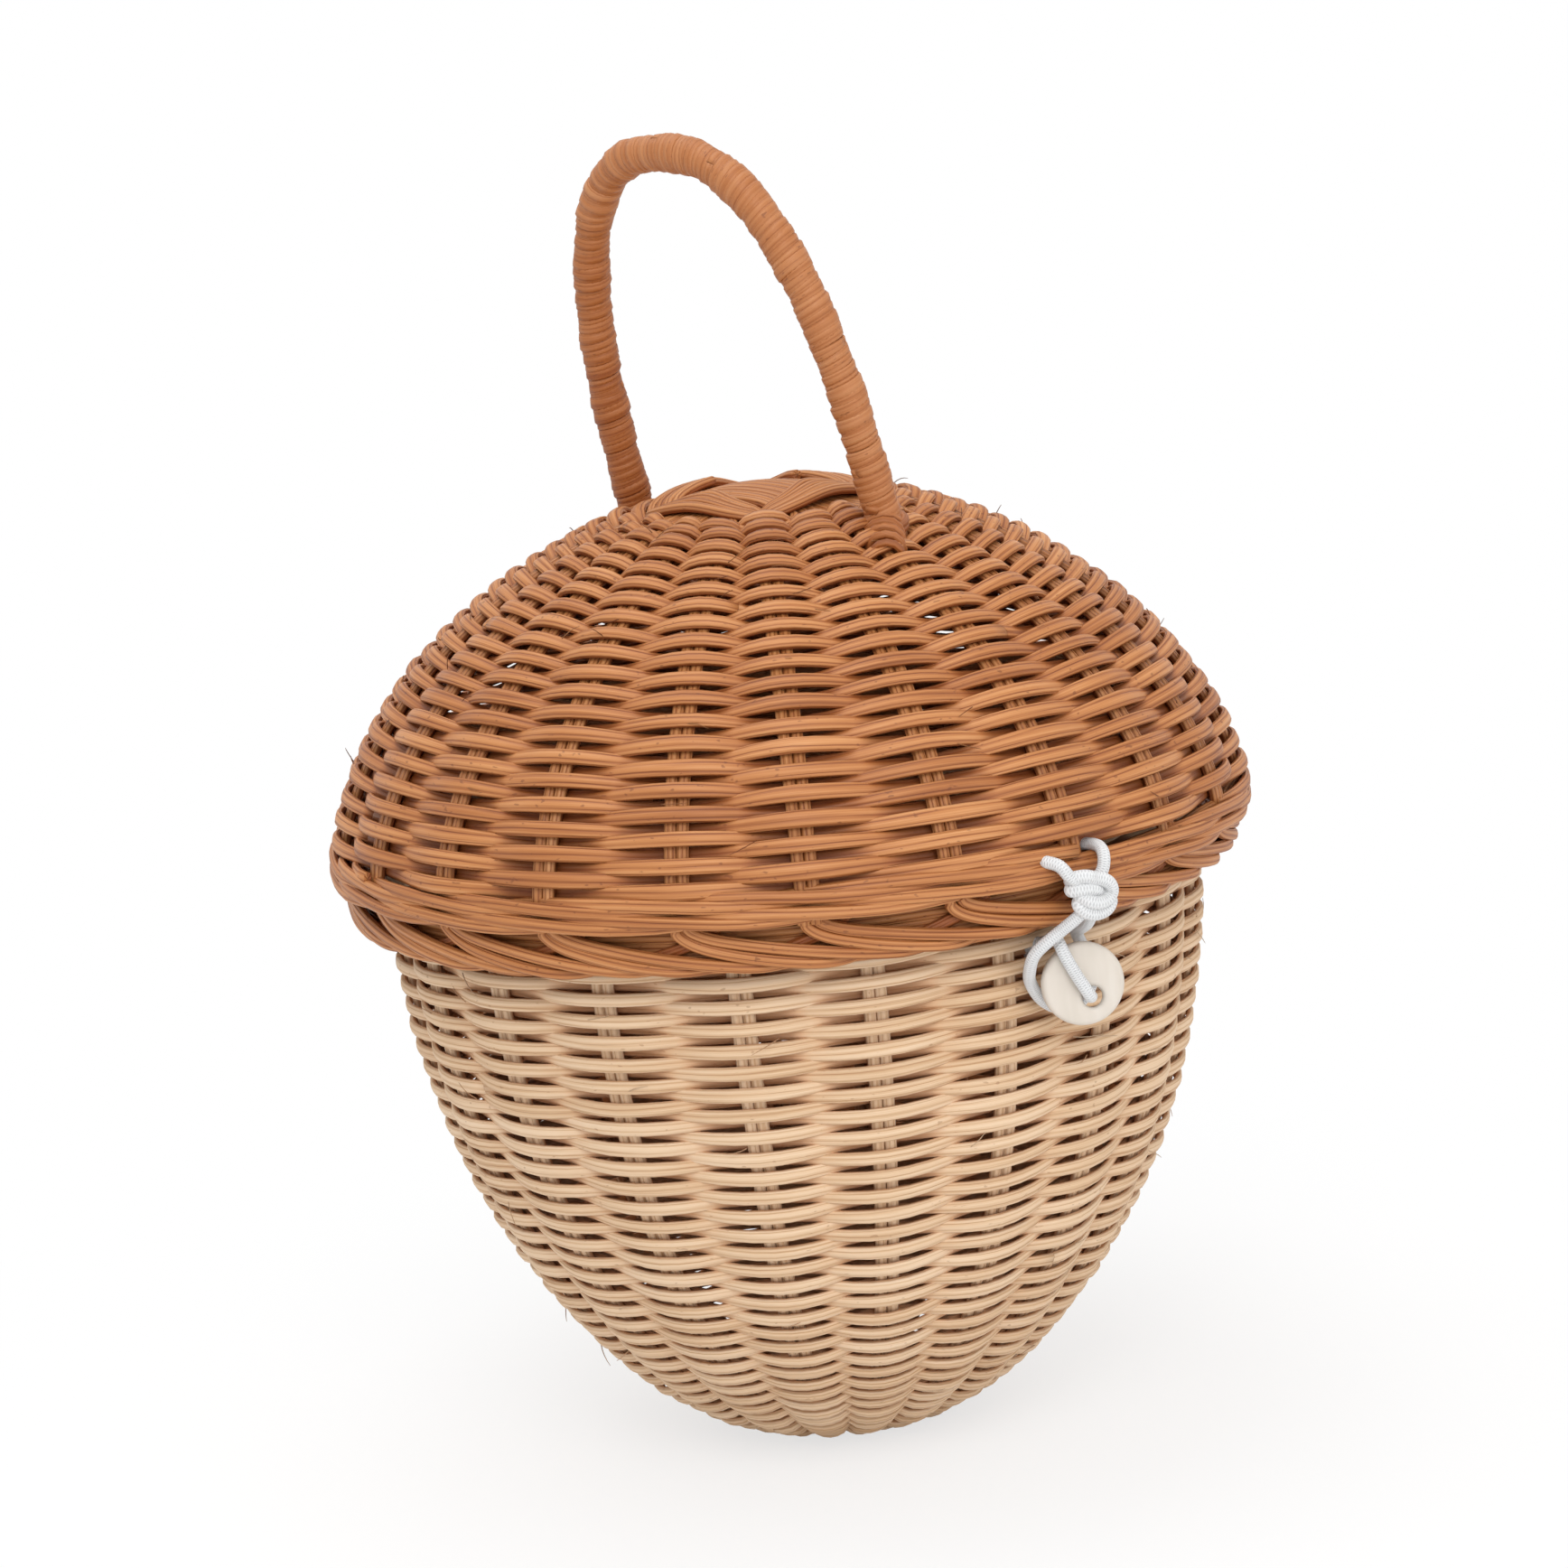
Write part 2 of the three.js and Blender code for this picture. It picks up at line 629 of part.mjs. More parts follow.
// Button: a round disc with softened edges and a hole nearer its lower right
function buttonGeometry() {
  const disc = new THREE.Shape();
  disc.absarc(0, 0, buttonDiameter / 2 - buttonBevel, 0, fullTurn);
  const hole = new THREE.Path();
  const toHole = radians(holeDirectionDegrees);
  hole.absarc(
    buttonHoleOffset * Math.cos(toHole), buttonHoleOffset * Math.sin(toHole),
    buttonHoleDiameter / 2 + buttonBevel, 0, fullTurn, true,
  );
  disc.holes.push(hole);
  const geometry = new THREE.ExtrudeGeometry(disc, {
    depth: buttonThickness - 2 * buttonBevel,
    curveSegments: 15,
    bevelThickness: buttonBevel,
    bevelSize: buttonBevel,
    bevelSegments: 1,
  });
  geometry.translate(0, 0, buttonBevel - buttonThickness / 2);
  geometry.rotateX(Math.PI / 2);
  return geometry;
}

function addButton() {
  const height = rimHeight - buttonDrop;
  const disc = addPiece(button, 'button', buttonGeometry(), 'buttonWood');
  disc.position.set(0, -bodyRadiusAt(height) - buttonStandoff, height);
  disc.rotation.order = 'ZXY';
  disc.rotation.set(-radians(buttonTiltDegrees), 0, -radians(buttonTurnDegrees));
  addPiece(button, 'button_cord', cordTube(buttonCordRoute), 'cord');
}

addBody();
addLid();
addHandle();
addClosure();
addButton();

export default basket;
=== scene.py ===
import random
from math import asin, atan2, copysign, cos, hypot, pi, radians, remainder, sin, sqrt, tau
from random import choice, gauss, randint, uniform

import bmesh
import bpy
from mathutils import Matrix, Quaternion, Vector


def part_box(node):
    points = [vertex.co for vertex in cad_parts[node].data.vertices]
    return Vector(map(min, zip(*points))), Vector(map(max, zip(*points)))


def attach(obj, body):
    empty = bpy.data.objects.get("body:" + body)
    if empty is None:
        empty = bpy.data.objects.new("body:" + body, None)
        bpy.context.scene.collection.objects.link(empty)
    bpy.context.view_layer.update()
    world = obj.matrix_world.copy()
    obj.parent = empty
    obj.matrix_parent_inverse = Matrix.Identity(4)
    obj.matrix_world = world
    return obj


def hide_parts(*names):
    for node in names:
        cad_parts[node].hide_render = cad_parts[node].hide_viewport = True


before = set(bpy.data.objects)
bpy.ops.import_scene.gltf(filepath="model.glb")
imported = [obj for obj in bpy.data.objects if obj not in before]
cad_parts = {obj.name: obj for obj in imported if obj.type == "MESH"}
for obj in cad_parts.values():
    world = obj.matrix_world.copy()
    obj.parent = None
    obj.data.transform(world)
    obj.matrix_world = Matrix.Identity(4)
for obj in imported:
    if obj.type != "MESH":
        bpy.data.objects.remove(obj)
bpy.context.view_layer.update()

scene = bpy.context.scene
mm = 0.001
straightUp = Vector((0, 0, 1))
random.seed(35)


# small helpers

def smoothStep(value, low, high):
    share = min(max((value - low) / (high - low), 0), 1)
    return share * share * (3 - 2 * share)


def signedPower(value, power):
    return copysign(abs(value) ** power, value)


def around(radius, angle, height):
    return Vector((radius * cos(angle), radius * sin(angle), height))


def between(values, place):
    knot = int(place)
    share = place - knot
    return values[knot] * (1 - share) + values[knot + 1] * share


def runAt(line, i, back=1, ahead=1):
    return line[min(i + ahead, len(line) - 1)] - line[max(i - back, 0)]


def smoothLine(points, perSpan):
    # Catmull-Rom line through given points
    points = [Vector(point) for point in points]
    line = []
    for i in range(len(points) - 1):
        p1, p2 = points[i], points[i + 1]
        p0 = points[i - 1] if i else 2 * p1 - p2
        p3 = points[i + 2] if i + 2 < len(points) else 2 * p2 - p1
        for k in range(perSpan):
            t = k / perSpan
            line.append(0.5 * (2 * p1 + (p2 - p0) * t + (2 * p0 - 5 * p1 + 4 * p2 - p3) * t * t
                               + (3 * p1 - p0 - 3 * p2 + p3) * t * t * t))
    line.append(points[-1])
    return line


def evenly(line, step):
    spaced = [Vector(line[0])]
    left = step
    for a, b in zip(line, line[1:]):
        a, b = Vector(a), Vector(b)
        run = (b - a).length
        while left <= run:
            spaced.append(a.lerp(b, left / run))
            left += step
        left -= run
    return spaced


def addObject(name, data):
    made = bpy.data.objects.new(name, data)
    scene.collection.objects.link(made)
    return made


def oval(high, thick, sides, square=1.0):
    # section of a reed in mm: x is its thickness outwards, y its height along the wall;
    # a lower square makes its faces flatter
    high, thick = high * mm, thick * mm
    section = []
    for i in range(sides):
        angle = tau * i / sides
        section.append((signedPower(cos(angle), square) * thick / 2,
                        signedPower(sin(angle), square) * high / 2))
    return section


def addStrands(name, strands, section, body, slot, stands=(), upright=False, flatten=(1, 1)):
    # every strand is a curve bevelled by one section, and the curves are made one mesh;
    # reedFlow keeps the way round and along each strand, reedTone its own shade and
    # reedDepth how far it lies under the others, which the reed materials paint as red-brown shade
    profile = bpy.data.curves.new(name + "Section", "CURVE")
    profile.dimensions = "2D"
    ring = profile.splines.new("POLY")
    ring.points.add(len(section) - 1)
    for point, (x, y) in zip(ring.points, section):
        point.co = (x, y, 0, 1)
    ring.use_cyclic_u = True
    profileObject = bpy.data.objects.new(name + "Section", profile)
    path = bpy.data.curves.new(name + "Path", "CURVE")
    path.dimensions = "3D"
    path.bevel_mode = "OBJECT"
    path.bevel_object = profileObject
    path.twist_mode = "Z_UP" if upright else "MINIMUM"
    flow, tones, depths, frames = [], [], [], []
    for strand in strands:
        points = strand["points"]
        tilts, radii, outwards, sunk = (strand.get(key) for key in ("tilts", "radii", "outwards", "depths"))
        spline = path.splines.new("POLY")
        spline.points.add(len(points) - 1)
        spline.use_cyclic_u = strand.get("closed", False)
        along = uniform(0, 2)
        for i, point in enumerate(points):
            spline.points[i].co = (*point, 1)
            spline.points[i].tilt = tilts[i] if tilts else 0
            spline.points[i].radius = radii[i] if radii else 1
            if i:
                along += (point - points[i - 1]).length
            for j in range(len(section)):
                angle = tau * j / len(section)
                flow.extend((cos(angle), sin(angle), along))
                tones.append(strand.get("tone", 0.4))
                depths.append(sunk[i] if sunk else 0)
                frames.append((point, runAt(points, i), outwards[i]) if outwards else None)
    holder = addObject(name + "Path", path)
    mesh = bpy.data.meshes.new_from_object(holder.evaluated_get(bpy.context.evaluated_depsgraph_get()))
    bpy.data.objects.remove(holder)
    bpy.data.objects.remove(profileObject)
    mesh.name = name
    for i, vertex in enumerate(mesh.vertices):
        if frames[i]:
            # the reed lies flat against the wall: wider along it and thinner across it
            middle, run, outward = frames[i]
            run = run.normalized()
            outward = (outward - run * outward.dot(run)).normalized()
            beside = run.cross(outward)
            spoke = vertex.co - middle
            up, side = spoke.dot(outward), spoke.dot(beside)
            reach = max(hypot(up, side), 1e-9)
            flow[3 * i], flow[3 * i + 1] = up / reach, side / reach
            vertex.co = middle + outward * up * flatten[0] + beside * side * flatten[1]
    # this depth carries the painted shade under other reeds
    mesh.attributes.new("reedDepth", "FLOAT", "POINT").data.foreach_set("value", depths)
    mesh.attributes.new("reedFlow", "FLOAT_VECTOR", "POINT").data.foreach_set("vector", flow)
    mesh.attributes.new("reedTone", "FLOAT", "POINT").data.foreach_set("value", tones)
    mesher = bmesh.new()
    mesher.from_mesh(mesh)
    bmesh.ops.holes_fill(mesher, edges=[edge for edge in mesher.edges if edge.is_boundary], sides=0)
    bmesh.ops.recalc_face_normals(mesher, faces=mesher.faces)
    for face in mesher.faces:
        face.smooth = len(face.verts) == 4
    mesher.to_mesh(mesh)
    mesher.free()
    return placePiece(name, mesh, body, slot, stands)


def placePiece(name, mesh, body, slot, stands=()):
    mesh.materials.clear()
    mesh.materials.append(looks[slot])
    piece = addObject(name, mesh)
    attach(piece, body)
    if stands:
        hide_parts(*stands)
    print(name, len(mesh.vertices), "vertices")
    return piece


# nodes: each is passed on as the node and the output that is read from it

def linear(hexColor):
    channels = [int(hexColor[i:i + 2], 16) / 255 for i in (1, 3, 5)]
    return [c / 12.92 if c <= 0.04045 else ((c + 0.055) / 1.055) ** 2.4 for c in channels] + [1]


def setInputs(tree, node, inputs):
    # by name or number, or as a list in the order of the sockets
    for key, value in inputs.items() if isinstance(inputs, dict) else enumerate(inputs):
        if isinstance(value, tuple) and isinstance(value[0], bpy.types.Node):
            tree.links.new(value[0].outputs[value[1]], node.inputs[key])
        else:
            node.inputs[key].default_value = value


def addNode(tree, kind, inputs=(), output=0, stops=(), **settings):
    node = tree.nodes.new("ShaderNode" + kind)
    for key, value in settings.items():
        setattr(node, key, value)
    if stops:
        elements = node.color_ramp.elements
        for position, color in stops:
            elements.new(position).color = linear(color)
        # the two that a new ramp starts with
        elements.remove(elements[0])
        elements.remove(elements[-1])
    setInputs(tree, node, inputs)
    return node, output


def grainNoise(tree, place, stretch, detail, roughness=0.5):
    stretched = addNode(tree, "VectorMath", [place, stretch], operation="MULTIPLY")
    inputs = {"Vector": stretched, "Scale": 1, "Detail": detail, "Roughness": roughness}
    return addNode(tree, "TexNoise", inputs, "Fac")


def strandPlace(tree):
    # where a spot is on its strand: the flow, its parts, and the turn round the strand
    flow = addNode(tree, "Attribute", output="Vector", attribute_name="reedFlow")
    parts = addNode(tree, "SeparateXYZ", [flow])[0]
    return flow, parts, addNode(tree, "Math", [(parts, 1), (parts, 0)], operation="ARCTAN2")


def newMaterial(name, inputs):
    material = bpy.data.materials.new(name)
    material.use_nodes = True
    tree = material.node_tree
    tree.nodes.clear()
    shader, output = addNode(tree, "BsdfPrincipled", inputs)
    addNode(tree, "OutputMaterial", {"Surface": (shader, output)})
    return material, tree, shader


# materials

print("materials")

# the same for all reed; a noise is how finely it repeats round the reed and along it, and its detail
reedCommon = {
    "drift": ((0.5, 30, 1), 2.4, 7), "noiseRoughness": 0.55, "grooveFrom": 0.02,
    # the turn range is how far round the reed the painted shade on its inward-turning side spreads
    "fade": ((1.1, 38, 1), 0.4, 0.56, 0.15, 1), "speckRange": 0.05, "shadeTurnRange": 0.75,
    "roughFibre": (0.3, 0.7), "roughChange": (0.08, -0.06), "fibreRelief": 0.4, "ior": 1.5,
}

# honey-stained reed, split and flat: low ridges, red-brown in its grooves, satin;
# shares are of the fibre, the slow noise, the reed's own tone and the ridges
stainedReedLook = {
    "fibre": (7, 26, 3), "slow": (0.6, 26, 2), "speck": (1.6, 420, 1), "ridges": 3.4,
    "shares": (0.36, 0.3, 0.1, 0.16),
    "shades": [(0.3, "#864a20"), (0.42, "#a66636"), (0.52, "#ba7a46"), (0.62, "#ca8d59"), (0.76, "#dfaa78")],
    # width, strength and colour of the grooves; start, strength and colour of the specks and of the painted
    # red-brown shade where the reed turns inwards or lies under others
    "grooves": (0.3, 0.8, "#6d3212"), "specks": (0.7, 0.5, "#63311a"), "inside": (0.4, 0.75, "#8a4419"),
    "roughness": 0.5, "relief": 0.16, "specular": 0.4,
}

# unstained reed: pale, dry and matt, with fine fibres and faint grooves
naturalReedLook = {
    "fibre": (7, 24, 3), "slow": (0.6, 22, 2), "speck": (1.6, 380, 1), "ridges": 3.2,
    "shares": (0.36, 0.3, 0.1, 0.14),
    "shades": [(0.3, "#bd9670"), (0.42, "#d3b18d"), (0.52, "#dfc1a0"), (0.64, "#e6cbad"), (0.78, "#ecd6bc")],
    # the last entry is the painted shade where the reed turns inwards or lies under others
    "grooves": (0.22, 0.45, "#8a5c3a"), "specks": (0.72, 0.4, "#8f6240"), "inside": (0.3, 0.7, "#c58b60"),
    "roughness": 0.66, "relief": 0.08, "specular": 0.3,
}

# flat rattan peel, stained: smooth skin with long fine lines
stainedPeelLook = {
    "fibre": (8, 30, 3), "slow": (0.6, 55, 2), "speck": (1.6, 420, 1), "ridges": 2.3,
    "shares": (0.34, 0.3, 0.26, 0.1),
    "shades": [(0.34, "#8f4c1d"), (0.46, "#a2602f"), (0.57, "#af6e3f"), (0.7, "#bb7d4f"), (0.85, "#cf9b6c")],
    # the last entry is the painted shade where the peel turns inwards at its edges
    "grooves": (0.2, 0.5, "#7a4020"), "specks": (0.7, 0.5, "#6f3b1e"), "inside": (0.3, 0.6, "#7a4020"),
    "roughness": 0.5, "relief": 0.08, "specular": 0.4,
}

# polyester-covered elastic, braided: fine diagonal ribs in both directions, matt white, with painted grey shade
# in the hollows between the ribs
cordLook = {
    "ribSpacing": 0.6, "ribsRound": 4, "ribRange": (-0.6, 1), "hollowShade": "#cdcecf", "crest": "#e6e7e8",
    "relief": 0.09, "shader": {"Roughness": 0.82, "Sheen Weight": 0.25, "Specular IOR Level": 0.25},
}

# pale wood, turned and sanded: nearly plain, with broad faint grain 4 mm apart and 20 mm long
buttonLook = {
    "grain": (240, 240, 50), "detail": 2, "shades": [(0.3, "#cfc6ba"), (0.55, "#d5ccc1"), (0.8, "#dad3c9")],
    "shader": {"Roughness": 0.62, "Specular IOR Level": 0.3},
}


def reedMaterial(name, ownLook):
    # fine fibres and dark grooves between low ridges, its own shade on every reed,
    # painted red-brown shade where it turns inwards and where it lies under other reeds, and a few dark specks
    look = {**reedCommon, **ownLook}
    material, tree, shader = newMaterial(name, {"IOR": look["ior"], "Specular IOR Level": look["specular"]})
    flow, parts, turn = strandPlace(tree)
    tone = addNode(tree, "Attribute", output="Fac", attribute_name="reedTone")
    depth = addNode(tree, "Attribute", output="Fac", attribute_name="reedDepth")
    driftNoise, driftShare, toneShare = look["drift"]
    fadeNoise, *fadeRange = look["fade"]
    fibre, slow, speck, drift, fade = (
        grainNoise(tree, flow, (across, across, along), detail, look["noiseRoughness"])
        for across, along, detail in (look["fibre"], look["slow"], look["speck"], driftNoise, fadeNoise))
    phase = addNode(tree, "Math", [tone, toneShare], operation="MULTIPLY")
    phase = addNode(tree, "Math", [drift, driftShare, phase], operation="MULTIPLY_ADD")
    phase = addNode(tree, "Math", [turn, look["ridges"], phase], operation="MULTIPLY_ADD")
    wave = addNode(tree, "Math", [phase], operation="SINE")
    ridge = addNode(tree, "Math", [wave], operation="ABSOLUTE")
    shade = 0
    for output, share in reversed(list(zip((fibre, slow, tone, ridge), look["shares"]))):
        shade = addNode(tree, "Math", [output, share, shade], operation="MULTIPLY_ADD")
    shades = addNode(tree, "ValToRGB", [shade], stops=look["shades"])

    wide, strong, color = look["grooves"]
    groove = addNode(tree, "MapRange", [ridge, look["grooveFrom"], wide, strong, 0])
    fades = addNode(tree, "MapRange", [fade, *fadeRange])
    grooved = addNode(tree, "Math", [groove, fades], operation="MULTIPLY")
    colored = addNode(tree, "Mix", {0: grooved, 6: shades, 7: linear(color)}, 2, data_type="RGBA")
    first, strong, color = look["specks"]
    specks = addNode(tree, "MapRange", [speck, first, first + look["speckRange"], 0, strong])
    speckled = addNode(tree, "Mix", {0: specks, 6: colored, 7: linear(color)}, 2, data_type="RGBA")
    # painted shade: red-brown where the surface turns inwards and where the reed lies under others, standing in
    # for the shade in the gaps of the weave
    first, strong, color = look["inside"]
    turned = addNode(tree, "MapRange", [(parts, 0), first, first - look["shadeTurnRange"], 0, strong])
    hidden = addNode(tree, "MapRange", [depth, 0, 1, 0, strong])
    paintedShadeShare = addNode(tree, "Math", [turned, hidden], operation="MAXIMUM")
    rougher, smoother = (look["roughness"] + change for change in look["roughChange"])
    relief = addNode(tree, "Math", [fibre, look["fibreRelief"], ridge], operation="MULTIPLY_ADD")
    setInputs(tree, shader, {
        "Base Color": addNode(tree, "Mix", {0: paintedShadeShare, 6: speckled, 7: linear(color)}, 2, data_type="RGBA"),
        "Roughness": addNode(tree, "MapRange", [fibre, *look["roughFibre"], rougher, smoother]),
        "Normal": addNode(tree, "Bump", {"Strength": 1, "Distance": look["relief"] * mm, "Height": relief}),
    })
    return material


def cordMaterial(name, look):
    material, tree, shader = newMaterial(name, look["shader"])
    flow, parts, turn = strandPlace(tree)
    along = addNode(tree, "Math", [(parts, 2), tau / (look["ribSpacing"] * mm)], operation="MULTIPLY")
    ribs = []
    for way in (1, -1):
        phase = addNode(tree, "Math", [turn, look["ribsRound"] * way, along], operation="MULTIPLY_ADD")
        ribs.append(addNode(tree, "Math", [phase], operation="SINE"))
    height = addNode(tree, "Math", ribs, operation="MAXIMUM")
    # painted shade: the lower a spot lies between the ribs, the greyer its colour
    raised = addNode(tree, "MapRange", [height, *look["ribRange"], 0, 1])
    colors = {0: raised, 6: linear(look["hollowShade"]), 7: linear(look["crest"])}
    setInputs(tree, shader, {
        "Base Color": addNode(tree, "Mix", colors, 2, data_type="RGBA"),
        "Normal": addNode(tree, "Bump", {"Strength": 1, "Distance": look["relief"] * mm, "Height": height}),
    })
    return material


def buttonMaterial(name, look):
    material, tree, shader = newMaterial(name, look["shader"])
    place = addNode(tree, "TexCoord", output="Object")
    grain = grainNoise(tree, place, look["grain"], look["detail"])
    setInputs(tree, shader, {"Base Color": addNode(tree, "ValToRGB", [grain], stops=look["shades"])})
    return material


looks = {
    "stained_reed": reedMaterial("rattanReedStainedSatin", stainedReedLook),
    "natural_reed": reedMaterial("rattanReedNaturalMatt", naturalReedLook),
    "stained_cane": reedMaterial("rattanPeelStainedSatin", stainedPeelLook),
    "elastic_cord": cordMaterial("polyesterElasticBraided", cordLook),
    "button_wood": buttonMaterial("paleWoodTurnedSanded", buttonLook),
}


# camera, as fitted to the photograph

print("camera")
photoView = {
    "target": (0, 0, 0.1485), "azimuth": -34.5, "elevation": 12, "distance": 1.1,
    "roll": 5.6, "sensor": 36, "lens": 95.9, "shift": (-0.0069, 0.0547), "clip": (0.05, 20),
}


def makeCamera(look):
    data = bpy.data.cameras.new("photoCamera")
    data.sensor_width = look["sensor"]
    data.lens = look["lens"]
    data.shift_x, data.shift_y = look["shift"]
    data.clip_start, data.clip_end = look["clip"]
    camera = addObject("photoCamera", data)
    a, e = radians(look["azimuth"]), radians(look["elevation"])
    back = Vector((sin(a) * cos(e), -cos(a) * cos(e), sin(e)))
    camera.location = Vector(look["target"]) + back * look["distance"]
    camera.rotation_mode = "QUATERNION"
    level = (-back).to_track_quat("-Z", "Y")
    camera.rotation_quaternion = level @ Quaternion((0, 0, 1), radians(-look["roll"]))
    scene.camera = camera


makeCamera(photoView)


# sizes that the frame gives, and the curve of both walls

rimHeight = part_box("lid_border")[0].z
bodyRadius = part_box("body_weave")[1].x
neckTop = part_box("body_weave")[1].z
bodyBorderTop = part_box("body_border")[1].z
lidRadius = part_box("lid_weave")[1].x
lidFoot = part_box("lid_weave")[0].z

wallShape = {
    "bodyFullness": 1.93, "baseTrim": 6, "neckTaper": 2, "neckBorder": 3.2,
    "domeRise": 91, "domeFullness": 1.75, "shoulderHeight": 14, "rimTuck": 5,
    "inset": 2.8, "insetChange": (25, 45), "step": 0.5,
    # for the body, whose outline runs up, and for the lid, whose outline runs down
    "middleInset": {1: 3.5, -1: 4.4}, "blur": {1: 14, -1: 2},
}


def bodyRadiusBelow(drop):
    # the body's radius this far below the rim
    fullness = wallShape["bodyFullness"]
    share = drop / (rimHeight + wallShape["baseTrim"] * mm)
    return bodyRadius * (1 - share ** fullness) ** (1 / fullness)


def domeHeight(radius):
    # the dome's height at a radius, both in mm
    fullness = wallShape["domeFullness"]
    share = (1 - (radius / (lidRadius / mm)) ** fullness) ** (1 / fullness)
    return rimHeight / mm + wallShape["shoulderHeight"] + wallShape["domeRise"] * share


# cords of the closure, held at both ends, so none is a free cord

print("closure")
closure = {
    "cordDiameter": 3.1, "sides": 16, "perSpan": 5,
    # each point: to the right, out from the body, up from the rim
    "anchorRoute": [
        (-6.5, 17.5, 14.3), (-8.4, 16.4, 17.1), (-9.9, 13.3, 18.1), (-9.4, 9.3, 17.9), (-6.4, 4.9, 17.9),
        (-1, 3.4, 18.3), (4.4, 4.5, 18.7), (6.2, 9.1, 18.9), (6.3, 13.4, 18.8), (5.3, 16.3, 17.3),
        (3.8, 17.6, 14.4)],
    "loopRoute": [
        (-3.6, 16.4, 4.1), (-6.6, 13.4, 0.9), (-10.2, 11.3, -1.9), (-12.2, 8.7, -4.9), (-11.8, 5.9, -8.9),
        (-9.6, 2.8, -13.1), (-6.2, 2.1, -18.1), (-1.2, 2.6, -21.4), (4.4, 2.8, -21.5), (8.6, 3.3, -17.5),
        (8.6, 3.9, -11.5), (5.8, 4.4, -6.5), (3.2, 6.1, -2.7), (2.3, 9.1, -1.2), (1.9, 12.1, 0.4),
        (1.2, 14.7, 2.7), (0.4, 16.5, 4.4)],
    "buttonRoute": [
        (-3.9, 0.6, -4.9), (-3.6, 2.9, -4.1), (-3.5, 5.1, -2.9), (-4.7, 7.3, -2.1), (-5.6, 10.0, -3.0),
        (-5.2, 11.6, -6.3), (-3.6, 12.9, -10.7), (-1.9, 14.0, -14.5), (-0.1, 13.5, -16.9), (1.7, 11.6, -17.8),
        (3, 9.0, -18.0), (3.2, 6.0, -17.9), (2.7, 3.0, -17.6), (2.4, 0.6, -17.3)],
    "buttonAnchorRoute": [
        (-3.9, -0.2, -4.9), (-3.8, -3.1, -5.3), (-3.2, -5.1, -7.9), (-0.7, -5.5, -11.3), (1.8, -5.2, -14.7),
        (2.4, -3.5, -17.1), (2.4, -0.2, -17.3)],
    # both ends of these two are carried on inside the knot
    "anchorInKnot": [(-3.2, 17.6, 11.6), (1.4, 17.6, 11.6)],
    "loopInKnot": [(-1.6, 17.4, 6.8), (0.2, 17.4, 6.8)],
}
knot = {
    "cordDiameter": 3.5, "place": (-1, 17.9, 9.4), "turn": 20, "perSpan": 6,
    # from its middle: over the top, down the right side and in, round the middle, round the foot
    "route": [
        (-4.3, -1.2, 3.2), (-4.2, 0.7, 4.1), (-1.8, 1.7, 4.4), (0.8, 1.8, 3.7), (3, 2, 3), (4.5, 1.9, 1.6),
        (4.7, 1.8, -0.3), (3.2, 2.2, -1.8), (1, 2.4, -2.2), (-1.2, 1.9, -1.6), (-2.6, 0.4, -0.6),
        (-1, -1.5, -0.2), (2.2, -1.6, 0.8), (-0.2, -1.9, 1.6), (-3.8, -1.2, 1.5), (-4.6, 0.3, 1.2),
        (-3, 1.4, 1.4), (-0.6, 1.6, 1.3), (1.6, 0.9, 0.5), (2.6, -0.9, -0.8), (0.6, -1.6, -2),
        (-2.4, -0.9, -2), (-3.1, 0.5, -2.8), (-1.8, 1.2, -4.3), (0.6, 1.4, -5), (3.2, 1.2, -4.4),
        (4.7, 0.5, -2.9), (4.8, -0.8, -1.3)],
}


def addCord(name, body, node, route, look):
    points = []
    for right, out, up in route:
        points.append(Vector((right * mm, -bodyRadius - out * mm, rimHeight + up * mm)))
    wide = look["cordDiameter"]
    addStrands(name, [{"points": smoothLine(points, look["perSpan"])}], oval(wide, wide, closure["sides"]),
               body, "elastic_cord", [node])


def throughKnot(route, inKnot):
    return inKnot[:1] + route + inKnot[1:]


def knotRoute(look):
    turn = Matrix.Rotation(radians(look["turn"]), 3, "Z")
    return [Vector(look["place"]) + turn @ Vector(point) for point in look["route"]]


addCord("closureAnchorCord", "lid", "closure_anchor_cord",
        throughKnot(closure["anchorRoute"], closure["anchorInKnot"]), closure)
addCord("closureLoop", "lid", "closure_loop",
        throughKnot(closure["loopRoute"], closure["loopInKnot"]), closure)
addCord("buttonCord", "button", "button_cord", closure["buttonRoute"], closure)
addCord("buttonAnchorCord", "basket_body", "button_anchor_cord", closure["buttonAnchorRoute"], closure)
addCord("closureKnot", "lid", "closure_knot", knotRoute(knot), knot)


# button

button = {
    "diameter": 20.4, "thickness": 3.6, "holeDiameter": 5.2, "holeOffset": 4.1, "holeDirection": -60,
    "turn": 26, "tilt": 5, "drop": 14.2, "standoff": 11.4, "edge": 1.25, "edgeSteps": 4, "sides": 64,
}


